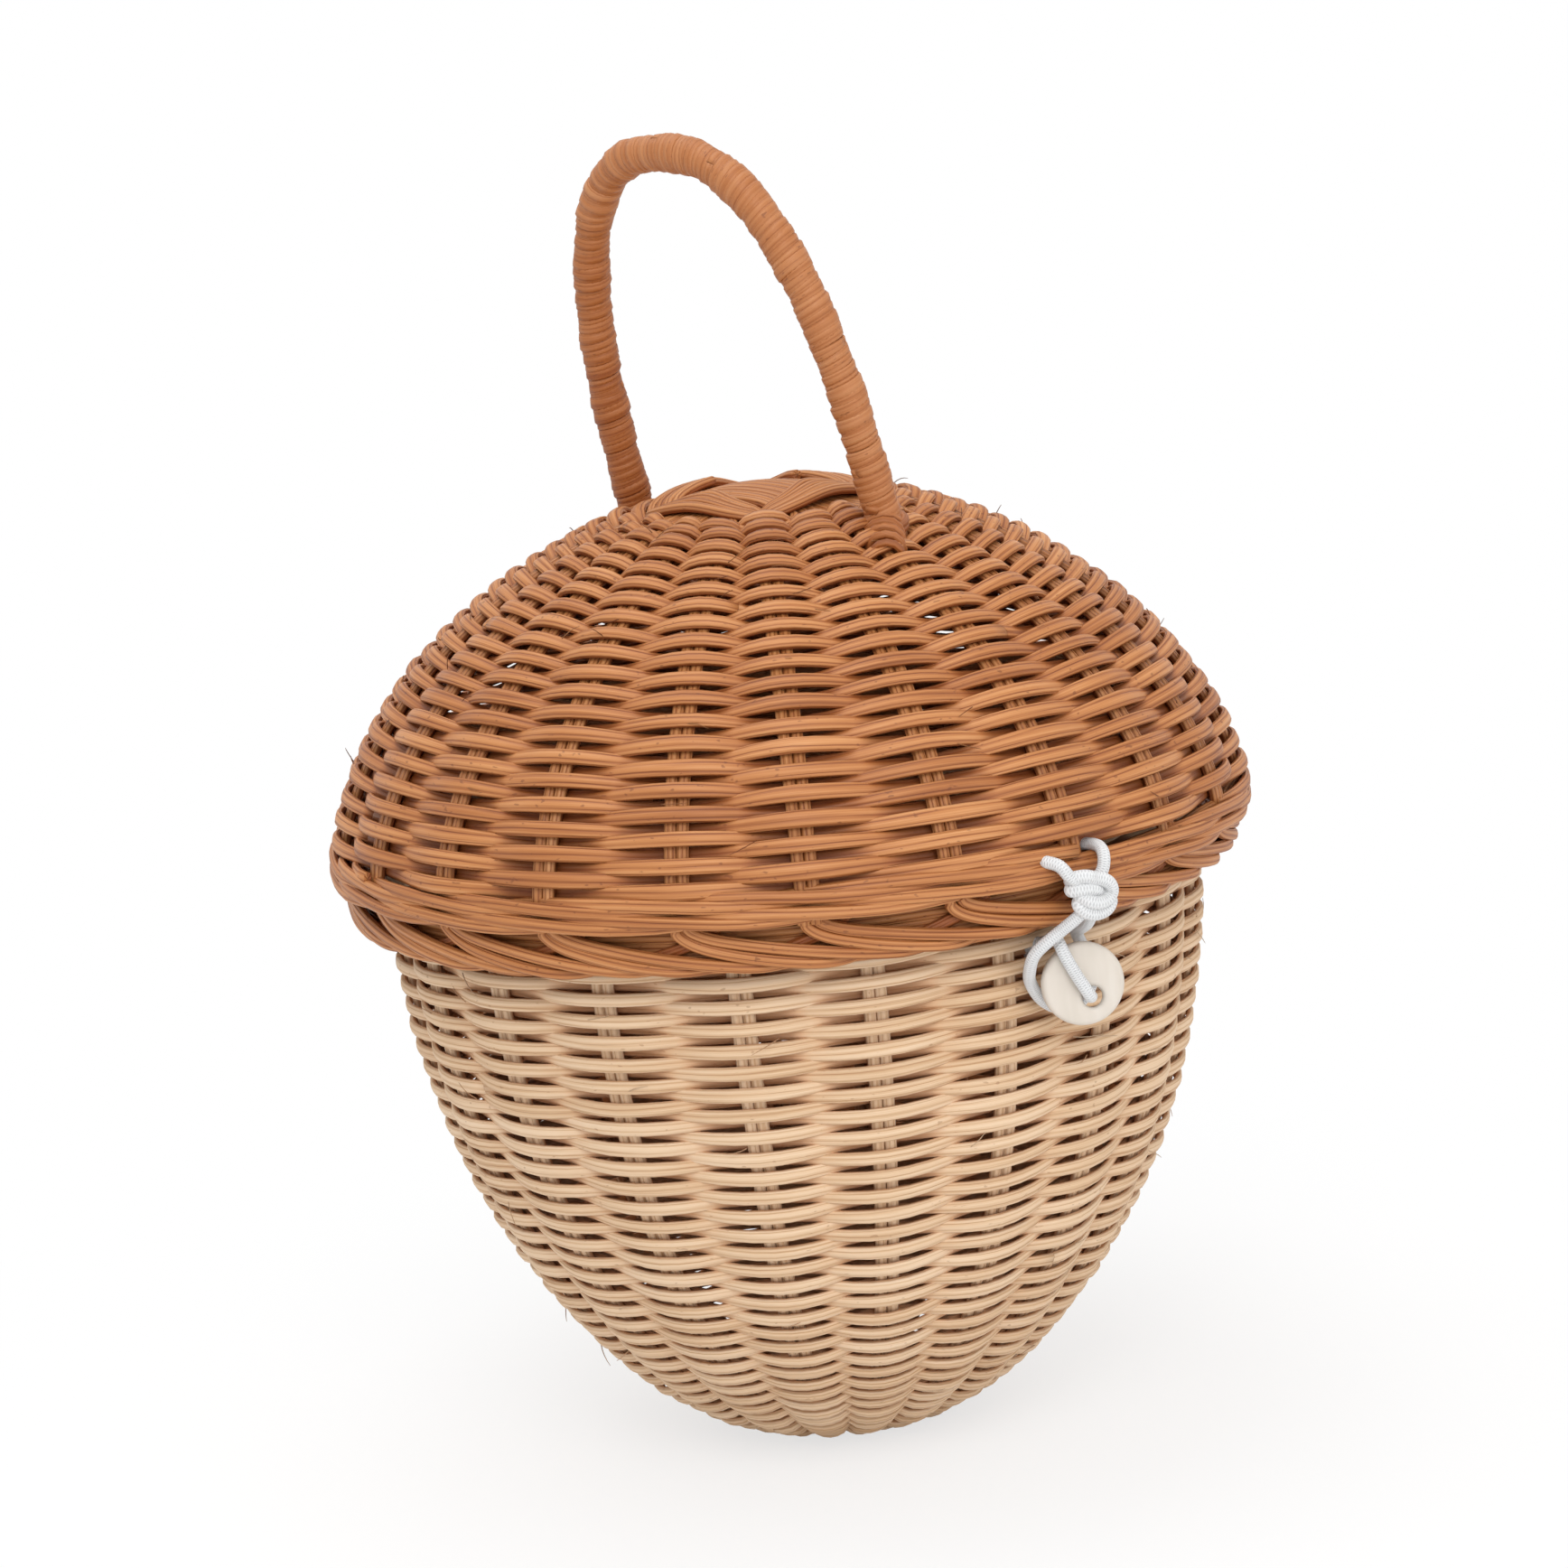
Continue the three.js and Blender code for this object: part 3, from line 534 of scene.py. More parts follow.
def addButton(look):
    mesher = bmesh.new()
    bmesh.ops.create_circle(mesher, segments=look["sides"], radius=look["diameter"] / 2 * mm)
    hole = around(look["holeOffset"] * mm, radians(look["holeDirection"]), 0)
    bmesh.ops.create_circle(mesher, segments=look["sides"], radius=look["holeDiameter"] / 2 * mm,
                            matrix=Matrix.Translation(hole))
    face = bmesh.ops.bridge_loops(mesher, edges=list(mesher.edges))["faces"]
    made = bmesh.ops.extrude_face_region(mesher, geom=face)["geom"]
    bmesh.ops.translate(mesher, verts=[one for one in made if isinstance(one, bmesh.types.BMVert)],
                        vec=(0, 0, look["thickness"] * mm))
    bmesh.ops.recalc_face_normals(mesher, faces=mesher.faces)
    sharp = [edge for edge in mesher.edges if len(edge.link_faces) == 2 and edge.calc_face_angle() > 1]
    bmesh.ops.bevel(mesher, geom=sharp, offset=look["edge"] * mm, segments=look["edgeSteps"], profile=0.5,
                    affect="EDGES", material=-1)
    bmesh.ops.translate(mesher, verts=mesher.verts, vec=(0, 0, -look["thickness"] / 2 * mm))
    drop = look["drop"] * mm
    place = Vector((0, -bodyRadiusBelow(drop) - look["standoff"] * mm, rimHeight - drop))
    stand = (Matrix.Translation(place) @ Matrix.Rotation(-radians(look["turn"]), 4, "Z")
             @ Matrix.Rotation(-radians(look["tilt"]), 4, "X") @ Matrix.Rotation(pi / 2, 4, "X"))
    bmesh.ops.transform(mesher, matrix=stand, verts=mesher.verts)
    for one in mesher.faces:
        one.smooth = True
    mesh = bpy.data.meshes.new("woodenButton")
    mesher.to_mesh(mesh)
    mesher.free()
    placePiece("woodenButton", mesh, "button", "button_wood", ["button"])


addButton(button)


# walls: the outline of the body and of the lid, and the middle of the weave inside it

print("walls")
wallStep = wallShape["step"] * mm


def bodyOutline(look):
    power = 2 / look["bodyFullness"]
    depth = rimHeight + look["baseTrim"] * mm
    baseRadius = bodyRadiusBelow(rimHeight)
    line = [(baseRadius * i / 20, 0) for i in range(21)]
    start = asin((baseRadius / bodyRadius) ** (1 / power))
    for i in range(1, 161):
        angle = start + (pi / 2 - start) * i / 160
        line.append((bodyRadius * sin(angle) ** power, rimHeight - depth * max(cos(angle), 0) ** power))
    rise = bodyBorderTop - look["neckBorder"] * mm - rimHeight
    for i in range(1, 25):
        above = (neckTop - rimHeight) * i / 24
        line.append((bodyRadius - look["neckTaper"] * mm * (above / rise) ** 2, rimHeight + above))
    return line


def lidOutline(look):
    power = 2 / look["domeFullness"]
    shoulder = rimHeight + look["shoulderHeight"] * mm
    line = []
    for i in range(181):
        angle = pi / 2 * i / 180
        rise = look["domeRise"] * mm * max(cos(angle), 0) ** power
        line.append((lidRadius * sin(angle) ** power, shoulder + rise))
    for i in range(1, 13):
        height = shoulder + (lidFoot - shoulder) * i / 12
        tuck = (height - shoulder) / (shoulder - rimHeight)
        line.append((lidRadius - look["rimTuck"] * mm * tuck ** 2, height))
    return line


def makeWall(look, outline, way):
    # evenly spaced (radius, height) points with outward normals, moved in to the middle of the weave
    line = evenly(outline, wallStep)
    soft = []
    for i in range(len(line)):
        reach = min(look["blur"][way], i, len(line) - 1 - i)
        near = line[i - reach:i + reach + 1]
        soft.append(sum(near, Vector((0, 0))) / len(near))
    wall = []
    for i, point in enumerate(soft):
        run = runAt(soft, i)
        normal = Vector((run.y, -run.x)).normalized() * way
        middle = 1 - smoothStep(i * look["step"], *look["insetChange"])
        depth = look["inset"] + (look["middleInset"][way] - look["inset"]) * middle
        wall.append((point - normal * depth * mm, normal))
    return wall


def onWall(wall, s):
    place = min(max(s / wallStep, 0), len(wall) - 1.001)
    i = int(place)
    share = place - i
    (p, n), (q, m) = wall[i], wall[i + 1]
    return p.lerp(q, share), n.lerp(m, share).normalized()


def wallPoint(wall, s, angle, out):
    place, normal = onWall(wall, s)
    return around(place.x + normal.x * out, angle, place.y + normal.y * out)


def newStrand():
    return {"points": [], "tilts": [], "radii": []}


def lay(strand, wall, s, angle, out, radius):
    # one more point of a strand that lies flat on the wall
    normal = onWall(wall, s)[1]
    strand["points"].append(wallPoint(wall, s, angle, out))
    strand["tilts"].append(-atan2(normal.y, normal.x))
    strand["radii"].append(radius)


def partOf(strand, first, last):
    return {key: strand[key][first:last + 1] for key in strand if key != "tone"}


def wallNormal(wall, point):
    # outward direction beside the wall's nearest place by height, or straight up near its middle
    radius = hypot(point.x, point.y)
    gaps = [(place.x - radius) ** 2 + (place.y - point.z) ** 2 for place, normal in wall[::4]]
    normal = wall[4 * gaps.index(min(gaps))][1]
    share = 1 / max(radius, 1e-6)
    return Vector((point.x * share * normal.x, point.y * share * normal.x, normal.y))


def distanceAt(wall, radius):
    # how far along the wall, from its middle, the first point at this radius is
    for i, (place, normal) in enumerate(wall):
        if place.x >= radius:
            before = wall[i - 1][0].x if i else 0
            share = (radius - before) / max(place.x - before, 1e-9)
            return (i - 1 + share) * wallStep
    return (len(wall) - 1) * wallStep


bodyWall = makeWall(wallShape, bodyOutline(wallShape), 1)
lidWall = makeWall(wallShape, lidOutline(wallShape), -1)
bodyLength, lidLength = ((len(wall) - 1) * wallStep for wall in (bodyWall, lidWall))


# crossings: reeds crossed two over two, whose arms fan out and pair as the stakes

print("stakes")
crossingShape = {
    # in shares of the crossing's half width: where one course stops lying over the other and
    # where both have met the wall, and how far its straight middle goes
    "flatUntil": 0.8, "settledAt": 1.55, "middle": 1.1, "middleSteps": 7,
    "armGap": 2, "fineStep": 2.5, "fineUntil": 50, "step": 5,
}
lidStakes = {
    "bundles": [6, 5], "stakes": 22, "firstStake": -90, "firstEnd": 8, "lane": 2.5, "laneGap": 0.2,
    "pairGap": 3.05, "fan": (24, 42), "layer": 1.05, "cushion": 0.2, "end": lidLength - 4 * mm,
    "uneven": [0, 0.7, -0.5, 0.2, -0.8, 0.5, 0.1, -0.3, 0.6, -0.6, 0.4],
}
bodyStakes = {
    "bundles": [5, 5], "stakes": 20, "firstStake": -81, "firstEnd": 0, "lane": 2.5, "laneGap": 0.2,
    "pairGap": 3, "fan": (19, 36), "layer": 1.35, "cushion": 0, "end": bodyLength,
    "uneven": [1.8, 0.9, -0.4, 0.6, 1.2, -0.8, 0.3, 1.1, -0.2, 0.5,
               1.3, 0.2, -0.6, 0.9, 0.4, -0.3, 0.2, 1.7, 1.5, 2.2],
}


def stakeTurn(look, stake):
    uneven = look["uneven"][stake % look["stakes"] % len(look["uneven"])]
    return radians(look["firstStake"] + uneven) + tau * stake / look["stakes"]


def bundledReeds(look):
    # every reed: its course, its two ends, the direction of its arm and its lane in it
    across = sum(look["bundles"])
    for course in (0, 1):
        nearEnd = look["firstEnd"] + course * across
        farEnd = nearEnd + 3 * across - 1
        armAngle = radians(look["firstStake"] + (nearEnd + across / 2 - 1) * 90 / across)
        for reed in range(across):
            gap = -look["laneGap"] if reed < look["bundles"][0] else look["laneGap"]
            offset = ((reed - (across - 1) / 2) * look["lane"] + gap) * mm
            yield course, nearEnd + reed, farEnd - reed, armAngle, offset


def reedEnds(look):
    # for every reed end: the direction of its arm and its lane in it
    total = 4 * sum(look["bundles"])
    ends = {}
    for course, near, far, armAngle, offset in bundledReeds(look):
        ends[near % total] = (armAngle, offset)
        ends[far % total] = (armAngle + pi, -offset)
    return ends


def reedTurn(look, end, radius):
    # polar angle of a reed at a radius: straight out in its lane, then beside its stake's middle
    armAngle, offset = look["ends"][end % len(look["ends"])]
    straight = armAngle + asin(max(min(offset / radius, 1), -1))
    paired = stakeTurn(look, end // 2) + (end % 2 - 0.5) * look["pairGap"] * mm / radius
    mix = smoothStep(radius / mm, *look["fan"])
    return paired + remainder(straight - paired, tau) * (1 - mix)


def pairTurn(look, stake, radius):
    base = stakeTurn(look, stake)
    if radius / mm > look["fan"][1]:
        return base
    turns = [remainder(reedTurn(look, 2 * stake + k, radius) - base, tau) for k in (0, 1)]
    return base + sum(turns) / 2


def crossedStakes(wall, look, shape):
    strands = []
    half = sum(look["bundles"]) * look["lane"] / 2 * mm
    for course, near, far, armAngle, offset in bundledReeds(look):

        def lifted(x):
            # one course lies over the other and both meet the wall's middle beyond the crossing
            side = 1 if course else -1
            flat = 1 - smoothStep(abs(x), half * shape["flatUntil"], half * shape["settledAt"])
            cushion = look["cushion"] * max(1 - (hypot(x, offset) / half) ** 2, 0) if course else 0
            return (side * look["layer"] * flat + cushion) * mm

        def arm(end):
            points = []
            s = distanceAt(wall, hypot(half * shape["middle"], offset)) + shape["armGap"] * mm
            while s < look["end"]:
                radius = onWall(wall, s)[0].x
                lift = lifted(sqrt(max(radius ** 2 - offset ** 2, 0)))
                points.append(wallPoint(wall, s, reedTurn(look, end, radius), lift))
                s += (shape["fineStep"] if s < shape["fineUntil"] * mm else shape["step"]) * mm
            return points

        middle = []
        for i in range(-shape["middleSteps"], shape["middleSteps"] + 1):
            x = half * shape["middle"] * i / shape["middleSteps"]
            s = distanceAt(wall, hypot(x, offset))
            middle.append(wallPoint(wall, s, armAngle + atan2(offset, x), lifted(x)))
        points = list(reversed(arm(far))) + middle + arm(near)
        outwards = [wallNormal(wall, point) for point in points]
        strands.append({"points": points, "outwards": outwards, "tone": uniform(0.3, 1)})
    return strands


for stakes in (lidStakes, bodyStakes):
    stakes["ends"] = reedEnds(stakes)
addStrands("lidStakes", crossedStakes(lidWall, lidStakes, crossingShape), oval(2.8, 2.8, 12), "lid",
           "stained_reed", ["lid_stakes_1", "lid_stakes_2", "lid_stakes_3", "lid_stakes_4"],
           flatten=(0.9, 1.12))
addStrands("bodyStakes", crossedStakes(bodyWall, bodyStakes, crossingShape), oval(2.8, 2.8, 10), "basket_body",
           "natural_reed", ["body_stakes_1", "body_stakes_2", "body_stakes_3", "body_stakes_4"],
           flatten=(0.85, 1.12))


# rounds on the crossings: two weavers bind the four arms, over one arm and under the next

# side and corner: the radius there and what every round adds to it
lidCrown = {"rounds": 4, "side": (15, 2.75), "corner": (21.3, 2.1), "over": (3.3, 3.9), "under": 2.5,
            "dip": 0.4, "tone": 0.7}
baseCrown = {"rounds": 2, "side": (13.6, 2.7), "corner": (18.3, 1.2), "over": (2.3, 2.5), "under": 2.3,
             "dip": 0, "tone": 0.5}
crownCommon = {"perRound": 64, "bend": 0.55, "girth": 1.04, "narrowing": 0.2, "uneven": 0.01,
               "toneChange": (-0.5, 0.3)}


def crownStrands(wall, stakesLook, ownLook):
    look = {**crownCommon, **ownLook}
    strands = []
    armAngle = stakesLook["ends"][stakesLook["firstEnd"]][0]
    for which in (0, 1):
        strand = newStrand()
        total = look["rounds"] * look["perRound"]
        for i in range(total + 1):
            turn = i / look["perRound"]
            past = tau * turn
            corner = (1 - cos(4 * past)) / 2
            side = look["side"][0] + look["side"][1] * turn
            edge = look["corner"][0] + look["corner"][1] * turn
            wave = signedPower(cos(2 * past), look["bend"])
            high = look["over"][which] if wave > 0 else look["under"]
            s = distanceAt(wall, (side + (edge - side) * corner) * mm)
            girth = look["girth"] - look["narrowing"] * (1 - abs(wave)) + gauss(0, look["uneven"])
            out = (high * wave - look["dip"] * corner) * mm
            lay(strand, wall, s, armAngle + pi / 2 * which + past, out, girth)
        # a shade for every half round, changed where the weaver is under an arm
        half = look["perRound"] // 2
        cuts = [0] + list(range(half // 2, total, half)) + [total]
        for first, last in zip(cuts, cuts[1:]):
            tone = look["tone"] + uniform(*look["toneChange"])
            strands.append({**partOf(strand, first, last), "tone": tone})
    return strands


addStrands("lidCrown", crownStrands(lidWall, lidStakes, lidCrown), oval(2.75, 2.6, 14), "lid",
           "stained_reed", upright=True)
addStrands("baseCrown", crownStrands(bodyWall, bodyStakes, baseCrown), oval(3, 1.9, 12, 0.8), "basket_body",
           "natural_reed", upright=True)


# weavers: two that chase each other round the stakes, over one and under one

weaverCommon = {
    # hidden: over which part of its wave the weaver counts as under a stake, for the painted shade there
    "perStake": 6, "swell": 0.06, "waist": 0.93, "bulge": 0.1, "hidden": (-0.25, 0.8),
    # how much more sharply a weaver bends in a tight place, and how far apart, in mm, stakes are tight
    "bend": 0.55, "bendChange": 0.4, "tight": (9, 24),
}


def weaverStrands(wall, stakesLook, look):
    strands = []
    stakes, perStake = stakesLook["stakes"], look["perStake"]
    rows = int((look["end"] - look["start"]) / look["pitch"])
    pitch = (look["end"] - look["start"]) / rows
    for which in (0, 1):
        knots = int((rows - which) / 2 * stakes)
        swell, sag, girth = ([gauss(0, 1) for _ in range(knots + 2)] for _ in range(3))
        strand = {**newStrand(), "depths": []}
        for i in range(knots * perStake + 1):
            share = i / perStake
            s = look["start"] + pitch * (which + 2 * share / stakes)
            s += between(sag, share) * look["wobble"] * mm
            radius = onWall(wall, s)[0].x
            stake = int(share) + look["startStake"]
            turn = pairTurn(stakesLook, stake, radius)
            turn += (pairTurn(stakesLook, stake + 1, radius) - turn) * (share - int(share))
            apart = tau * radius / mm / stakes
            bend = look["bend"] + look["bendChange"] * smoothStep(apart, *look["tight"])
            wave = signedPower(cos(pi * share) * (1 if which else -1), bend)
            out = look["swing"] * mm * wave * (1 + look["swell"] * between(swell, share))
            thin = look["waist"] + look["bulge"] * abs(wave)
            lay(strand, wall, s, turn, out, thin * (1 + between(girth, share) * look["girth"]))
            # how far the weaver lies under a stake, painted as shade by its material
            strand["depths"].append(smoothStep(-wave, *look["hidden"]))
        strands.append(strand)
    return strands


def cutInLengths(strands, shortest, longest):
    # a weaver is made of many reeds of random lengths, each with its own shade
    pieces = []
    for strand in strands:
        last = len(strand["points"]) - 1
        start = 0
        while start < last:
            end = min(start + randint(shortest, longest), last)
            if last - end < shortest:
                end = last
            pieces.append({**partOf(strand, start, end), "tone": uniform(0, 1)})
            start = end
    return pieces


print("body weave")
bodyWeave = {
    **weaverCommon, "startStake": 3, "pitch": 2.85 * mm, "swing": 2.35, "wobble": 0.14, "girth": 0.05,
    "start": 21 * mm, "end": bodyLength + 1.2 * mm,
}
addStrands("bodyWeave", cutInLengths(weaverStrands(bodyWall, bodyStakes, bodyWeave), 150, 420),
           oval(3.55, 1.9, 10, 0.75), "basket_body", "natural_reed", ["body_weave"], upright=True)

print("lid weave")
lidWeave = {
    **weaverCommon, "startStake": 5, "pitch": 3.05 * mm, "swing": 2.5, "wobble": 0.16, "girth": 0.06,
    "start": distanceAt(lidWall, 28.5 * mm), "end": lidLength - 13 * mm,
}
addStrands("lidWeave", cutInLengths(weaverStrands(lidWall, lidStakes, lidWeave), 130, 400),
           oval(3.9, 2.1, 12, 0.75), "lid", "stained_reed", ["lid_weave"], upright=True)


# wale above the lid's border: three weavers over two stakes and under one, slanting to the right

print("wale")
wale = {"strands": 3, "turns": 2, "start": 4.3, "risePerTurn": 3.9, "swing": 3.3, "slant": 1.2, "perStake": 6,
        "uneven": 0.02}


def waleStrands(wall, stakesLook, look):
    strands = []
    for which in range(look["strands"]):
        strand = newStrand()
        for i in range(look["turns"] * stakesLook["stakes"] * look["perStake"] + 1):
            share = i / look["perStake"]
            stake = int(share)
            turn = stakeTurn(stakesLook, stake)
            turn += (stakeTurn(stakesLook, stake + 1) - turn) * (share - stake)
            phase = tau * (share + which) / look["strands"]
            # two thirds of each stroke lie outside, one third inside
            out = cos(phase) * 0.75 + 0.25 - 0.25 * cos(2 * phase)
            rise = look["start"] + look["risePerTurn"] * share / stakesLook["stakes"]
            s = lidLength - (rise - look["slant"] * sin(phase)) * mm
            lay(strand, wall, s, turn, look["swing"] * mm * out, 1 + gauss(0, look["uneven"]))
        strands.append({**strand, "tone": uniform(0.2, 0.7)})
    return strands


addStrands("lidWale", waleStrands(lidWall, lidStakes, wale), oval(3.3, 2.3, 12, 0.8), "lid", "stained_reed",
           upright=True)


# borders: rolled rings, and on the lid the stakes' ends laid down to the right over the roll

print("borders")
bodyBorder = {"strands": 5, "turns": 11, "reed": 2.8, "perTurn": 14}
lidBorder = {
    # each end: along the rim, up from its foot, in from the lid's edge
    "ends": {
        "left": [(-1.45, 13, 3.4), (-1, 11.1, 3.7), (1, 9.3, 3.9), (4, 7.8, 3.9), (8, 6.5, 3.9), (15, 4.7, 4),
                 (24, 2.9, 4.3), (32, 1.7, 5.2), (37, 1.5, 7), (41, 2.2, 8.6)],
        "right": [(1.45, 13, 3.2), (2.4, 11.8, 3.4), (4.8, 10.5, 3.5), (8, 9.4, 3.5), (12, 8.4, 3.6),
                  (18, 7.1, 3.8), (28, 5.2, 4), (40, 3.2, 4.3), (50, 1.8, 5.2), (55, 1.6, 7), (59, 2.2, 8.6)],
        "behind": [(9, 12.5, 5.2), (5, 9.6, 5.9), (0, 7.4, 6.2), (-6, 5.4, 6.4), (-13, 3.6, 6.6),
                   (-20, 2.2, 7)],
    },
    "perSpan": 4, "droop": 0.15, "droopRun": (0, 10),
    # each ring under the ends: its radius and its height over the rim
    "rings": [(111.9, 1.6), (112.1, 4.5), (113.2, 3), (111.8, 7), (112.2, 9.4)], "ringPoints": 120,
}


def rolledStrands(low, high, look):
    # reeds laid side by side and rolled round a ring
    reach = (high.z - low.z) / 2 - look["reed"] / 2 * mm
    ringRadius = high.x - (high.z - low.z) / 2
    middle = (low.z + high.z) / 2
    total = look["turns"] * look["perTurn"]
    strands = []
    for which in range(look["strands"]):
        points = []
        for i in range(total):
            roll = tau * (look["turns"] * i / total + which / look["strands"])
            points.append(around(ringRadius + reach * cos(roll), pi / 2 + tau * i / total,
                                 middle - reach * sin(roll)))
        strands.append({"points": points, "closed": True, "tone": uniform(0.2, 0.8)})
    return strands


def laidEnds(stakesLook, look):
    strands = []
    for stake in range(stakesLook["stakes"]):
        tone = uniform(0.1, 0.8)
        for course in look["ends"].values():
            droop = gauss(0, look["droop"])
            points = []
            for run, rise, depth in smoothLine(course, look["perSpan"]):
                radius = lidRadius - depth * mm
                height = rimHeight + (rise + droop * smoothStep(run, *look["droopRun"])) * mm
                points.append(around(radius, stakeTurn(stakesLook, stake) + run * mm / radius, height))
            strands.append({"points": points, "tone": tone + uniform(-0.1, 0.1)})
    return strands


def innerRings(look):
    strands = []
    total = look["ringPoints"]
    for radius, height in look["rings"]:
        points = [around(radius * mm, tau * i / total, rimHeight + height * mm) for i in range(total)]
        strands.append({"points": points, "closed": True, "tone": uniform(0.2, 0.6)})
    return strands


# the rings' shades are drawn before the ends'
rings = innerRings(lidBorder)
addStrands("lidBorder", laidEnds(lidStakes, lidBorder) + rings, oval(3.1, 2.5, 12, 0.85), "lid",
           "stained_reed", ["lid_border"], upright=True)
addStrands("bodyBorder", rolledStrands(*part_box("body_border"), bodyBorder), oval(2.8, 2.8, 10), "basket_body",
           "natural_reed", ["body_border"], upright=True)


# handle: flat peel wound up the arch, built straight and then laid along it

print("handle")
handle = {
    "reach": 46.5, "rise": 98.5, "fullness": 2.48, "lean": 12.8, "direction": -90 + 90 / 11,
    "footDepth": 4.8, "footRise": 3.45, "legs": 12, "step": 0.5, "cane": 6,
}
handleAlong = Matrix.Rotation(radians(handle["direction"]), 3, "Z") @ Vector((1, 0, 0))
handleUp = Matrix.Rotation(radians(handle["lean"]), 3, handleAlong) @ straightUp
handleAcross = handleUp.cross(handleAlong)


def archLine(look):
    foot = Vector((0, 0, domeHeight(look["reach"]) - look["footDepth"]))
    power = 2 / look["fullness"]
    line = []
    for i in range(181):
        angle = pi * i / 180
        across = signedPower(cos(angle), power) * look["reach"]
        rise = look["footRise"] + max(sin(angle), 0) ** power * look["rise"]
        line.append((foot + handleAlong * across + handleUp * rise) * mm)
    legs = [i * mm for i in range(look["legs"], 0, -1)]
    down = [line[0] - handleUp * leg for leg in legs]
    up = [line[-1] - handleUp * leg for leg in reversed(legs)]
    return down + line + up


archStep = handle["step"] * mm
arch = evenly(archLine(handle), archStep)


def ontoArch(vertex):
    # a point built round the Z axis goes to the same height along the arch
    place = min(max(vertex.z / archStep, 0.001), len(arch) - 2.001)
    i = int(place)
    centre = arch[i].lerp(arch[i + 1], place - i)
    outward = runAt(arch, i, 2, 3).normalized().cross(handleAcross).normalized()
    return centre + handleAcross * vertex.x + outward * vertex.y


def leavesDome(line, gap):
    # the first place of the arch that is this far above the dome
    return next(i for i, point in enumerate(line)
                if point.z / mm > domeHeight(hypot(point.x, point.y) / mm) + gap)


binding = {
    "starts": 2, "advance": 4.15, "radius": 4.2, "thick": 0.8, "wide": 2.3, "widths": [2.75, 2.3],
    "perTurn": 16, "knotsPerTurn": 3, "swell": 0.1, "sway": (0.18, 1.3), "creep": (0.05, 2.3, 0.9),
    "tilt": 0.1, "rock": (0.07, 3.1), "lengths": (60, 160),
    # half of the peel's section, in shares of its thickness and width
    "section": [(0.5, 0), (0.47, 0.34), (0.15, 0.48), (-0.4, 0.46), (-0.5, 0)],
    # the leg at the back is the darker one
    "frontTone": 0.85, "darker": 0.7, "darkerFrom": (0.45, 0.8), "toneChange": 0.15,
}


def addBinding(look):
    length = (len(arch) - 1) * archStep
    turns = length / (look["advance"] * mm)
    sway, swayPace = look["sway"]
    rock, rockPace = look["rock"]
    creep, firstPace, secondPace = look["creep"]
    strands = []
    for which in range(look["starts"]):
        points, radii, tilts = [], [], []
        swell = [gauss(0, 1) for _ in range(int(turns) * look["knotsPerTurn"] + 12)]
        for i in range(int(turns * look["perTurn"]) + 1):
            turn = i / look["perTurn"]
            vary = between(swell, turn * look["knotsPerTurn"])
            radius = look["radius"] + look["swell"] * vary + sway * sin(swayPace * turn)
            crept = creep * (sin(firstPace * turn + which * 2) + sin(secondPace * turn))
            z = look["advance"] * mm * (turn + crept)
            angle = tau * (turn + which / look["starts"])
            points.append(around(radius * mm, angle, min(max(z, 0), length)))
            radii.append(look["widths"][which] / 2 * (1 + look["swell"] * vary))
            tilts.append(look["tilt"] + rock * sin(rockPace * turn + which))
        strands.append({"points": points, "radii": radii, "tilts": tilts, "tone": uniform(0.1, 0.9)})
    half = [(x * look["thick"] * mm, y * look["wide"] * mm) for x, y in look["section"]]
    section = half + [(x, -y) for x, y in half[-2:0:-1]]
    lengths = cutInLengths(strands, *look["lengths"])
    for one in lengths:
        dark = look["darker"] * smoothStep(one["points"][0].z / length, *look["darkerFrom"])
        one["tone"] = look["frontTone"] - dark + uniform(-look["toneChange"], look["toneChange"])
    piece = addStrands("handleBinding", lengths, section, "lid", "stained_cane", ["handle_binding"],
                       upright=True)
    for vertex in piece.data.vertices:
        vertex.co = ontoArch(vertex.co)


addBinding(binding)
addStrands("handleCane", [{"points": arch[::8] + arch[-1:]}], oval(handle["cane"], handle["cane"], 20), "lid",
           "stained_cane", ["handle_core"])


# where the legs go through the lid the peel ends in a thicker turn and a half, tucked in at both ends
collar = {"steps": 40, "wound": 3.4 * pi, "start": 1.2, "above": -0.6, "radius": 5.1, "tuck": 1.6,
          "sway": 1.5, "climb": 2.2, "drop": 1.4, "reed": 2.3, "frontTone": 0.6, "backTone": 0.3}


def addCollars(look):
    strands = []
    for line, tone in ((arch, look["frontTone"]), (list(reversed(arch)), look["backTone"])):
        start = leavesDome(line, look["above"])
        along = (line[start + 4] - line[start]).normalized()
        across = along.cross(handleAcross).normalized()
        points = []
        for i in range(look["steps"] + 1):
            share = i / look["steps"]
            angle = look["wound"] * share + look["start"]
            reach = (look["radius"] - look["tuck"] * abs(2 * share - 1) ** 6) * mm
            lean = (look["sway"] * cos(angle) + look["climb"] * share - look["drop"]) * mm
            spoke = handleAcross * sin(angle) + across * cos(angle)
            points.append(line[start] + spoke * reach + along * lean)
        strands.append({"points": points, "tone": tone})
    addStrands("handleCollars", strands, oval(look["reed"], look["reed"], 12), "lid", "stained_cane")


# below the front foot the peel goes on round the cane where it is laid on the dome, half sunk in the weave
footWrap = {"perWrap": 12, "direction": -124, "above": 1.5, "rise": 2, "runs": (0, 3, 6, 9, 12, 15),
            "sunk": 2.2, "sinking": (-3, 4), "slope": 0.05, "perSpan": 12, "radius": 4.5, "narrowing": 1.1,
            "reed": (2.4, 2)}


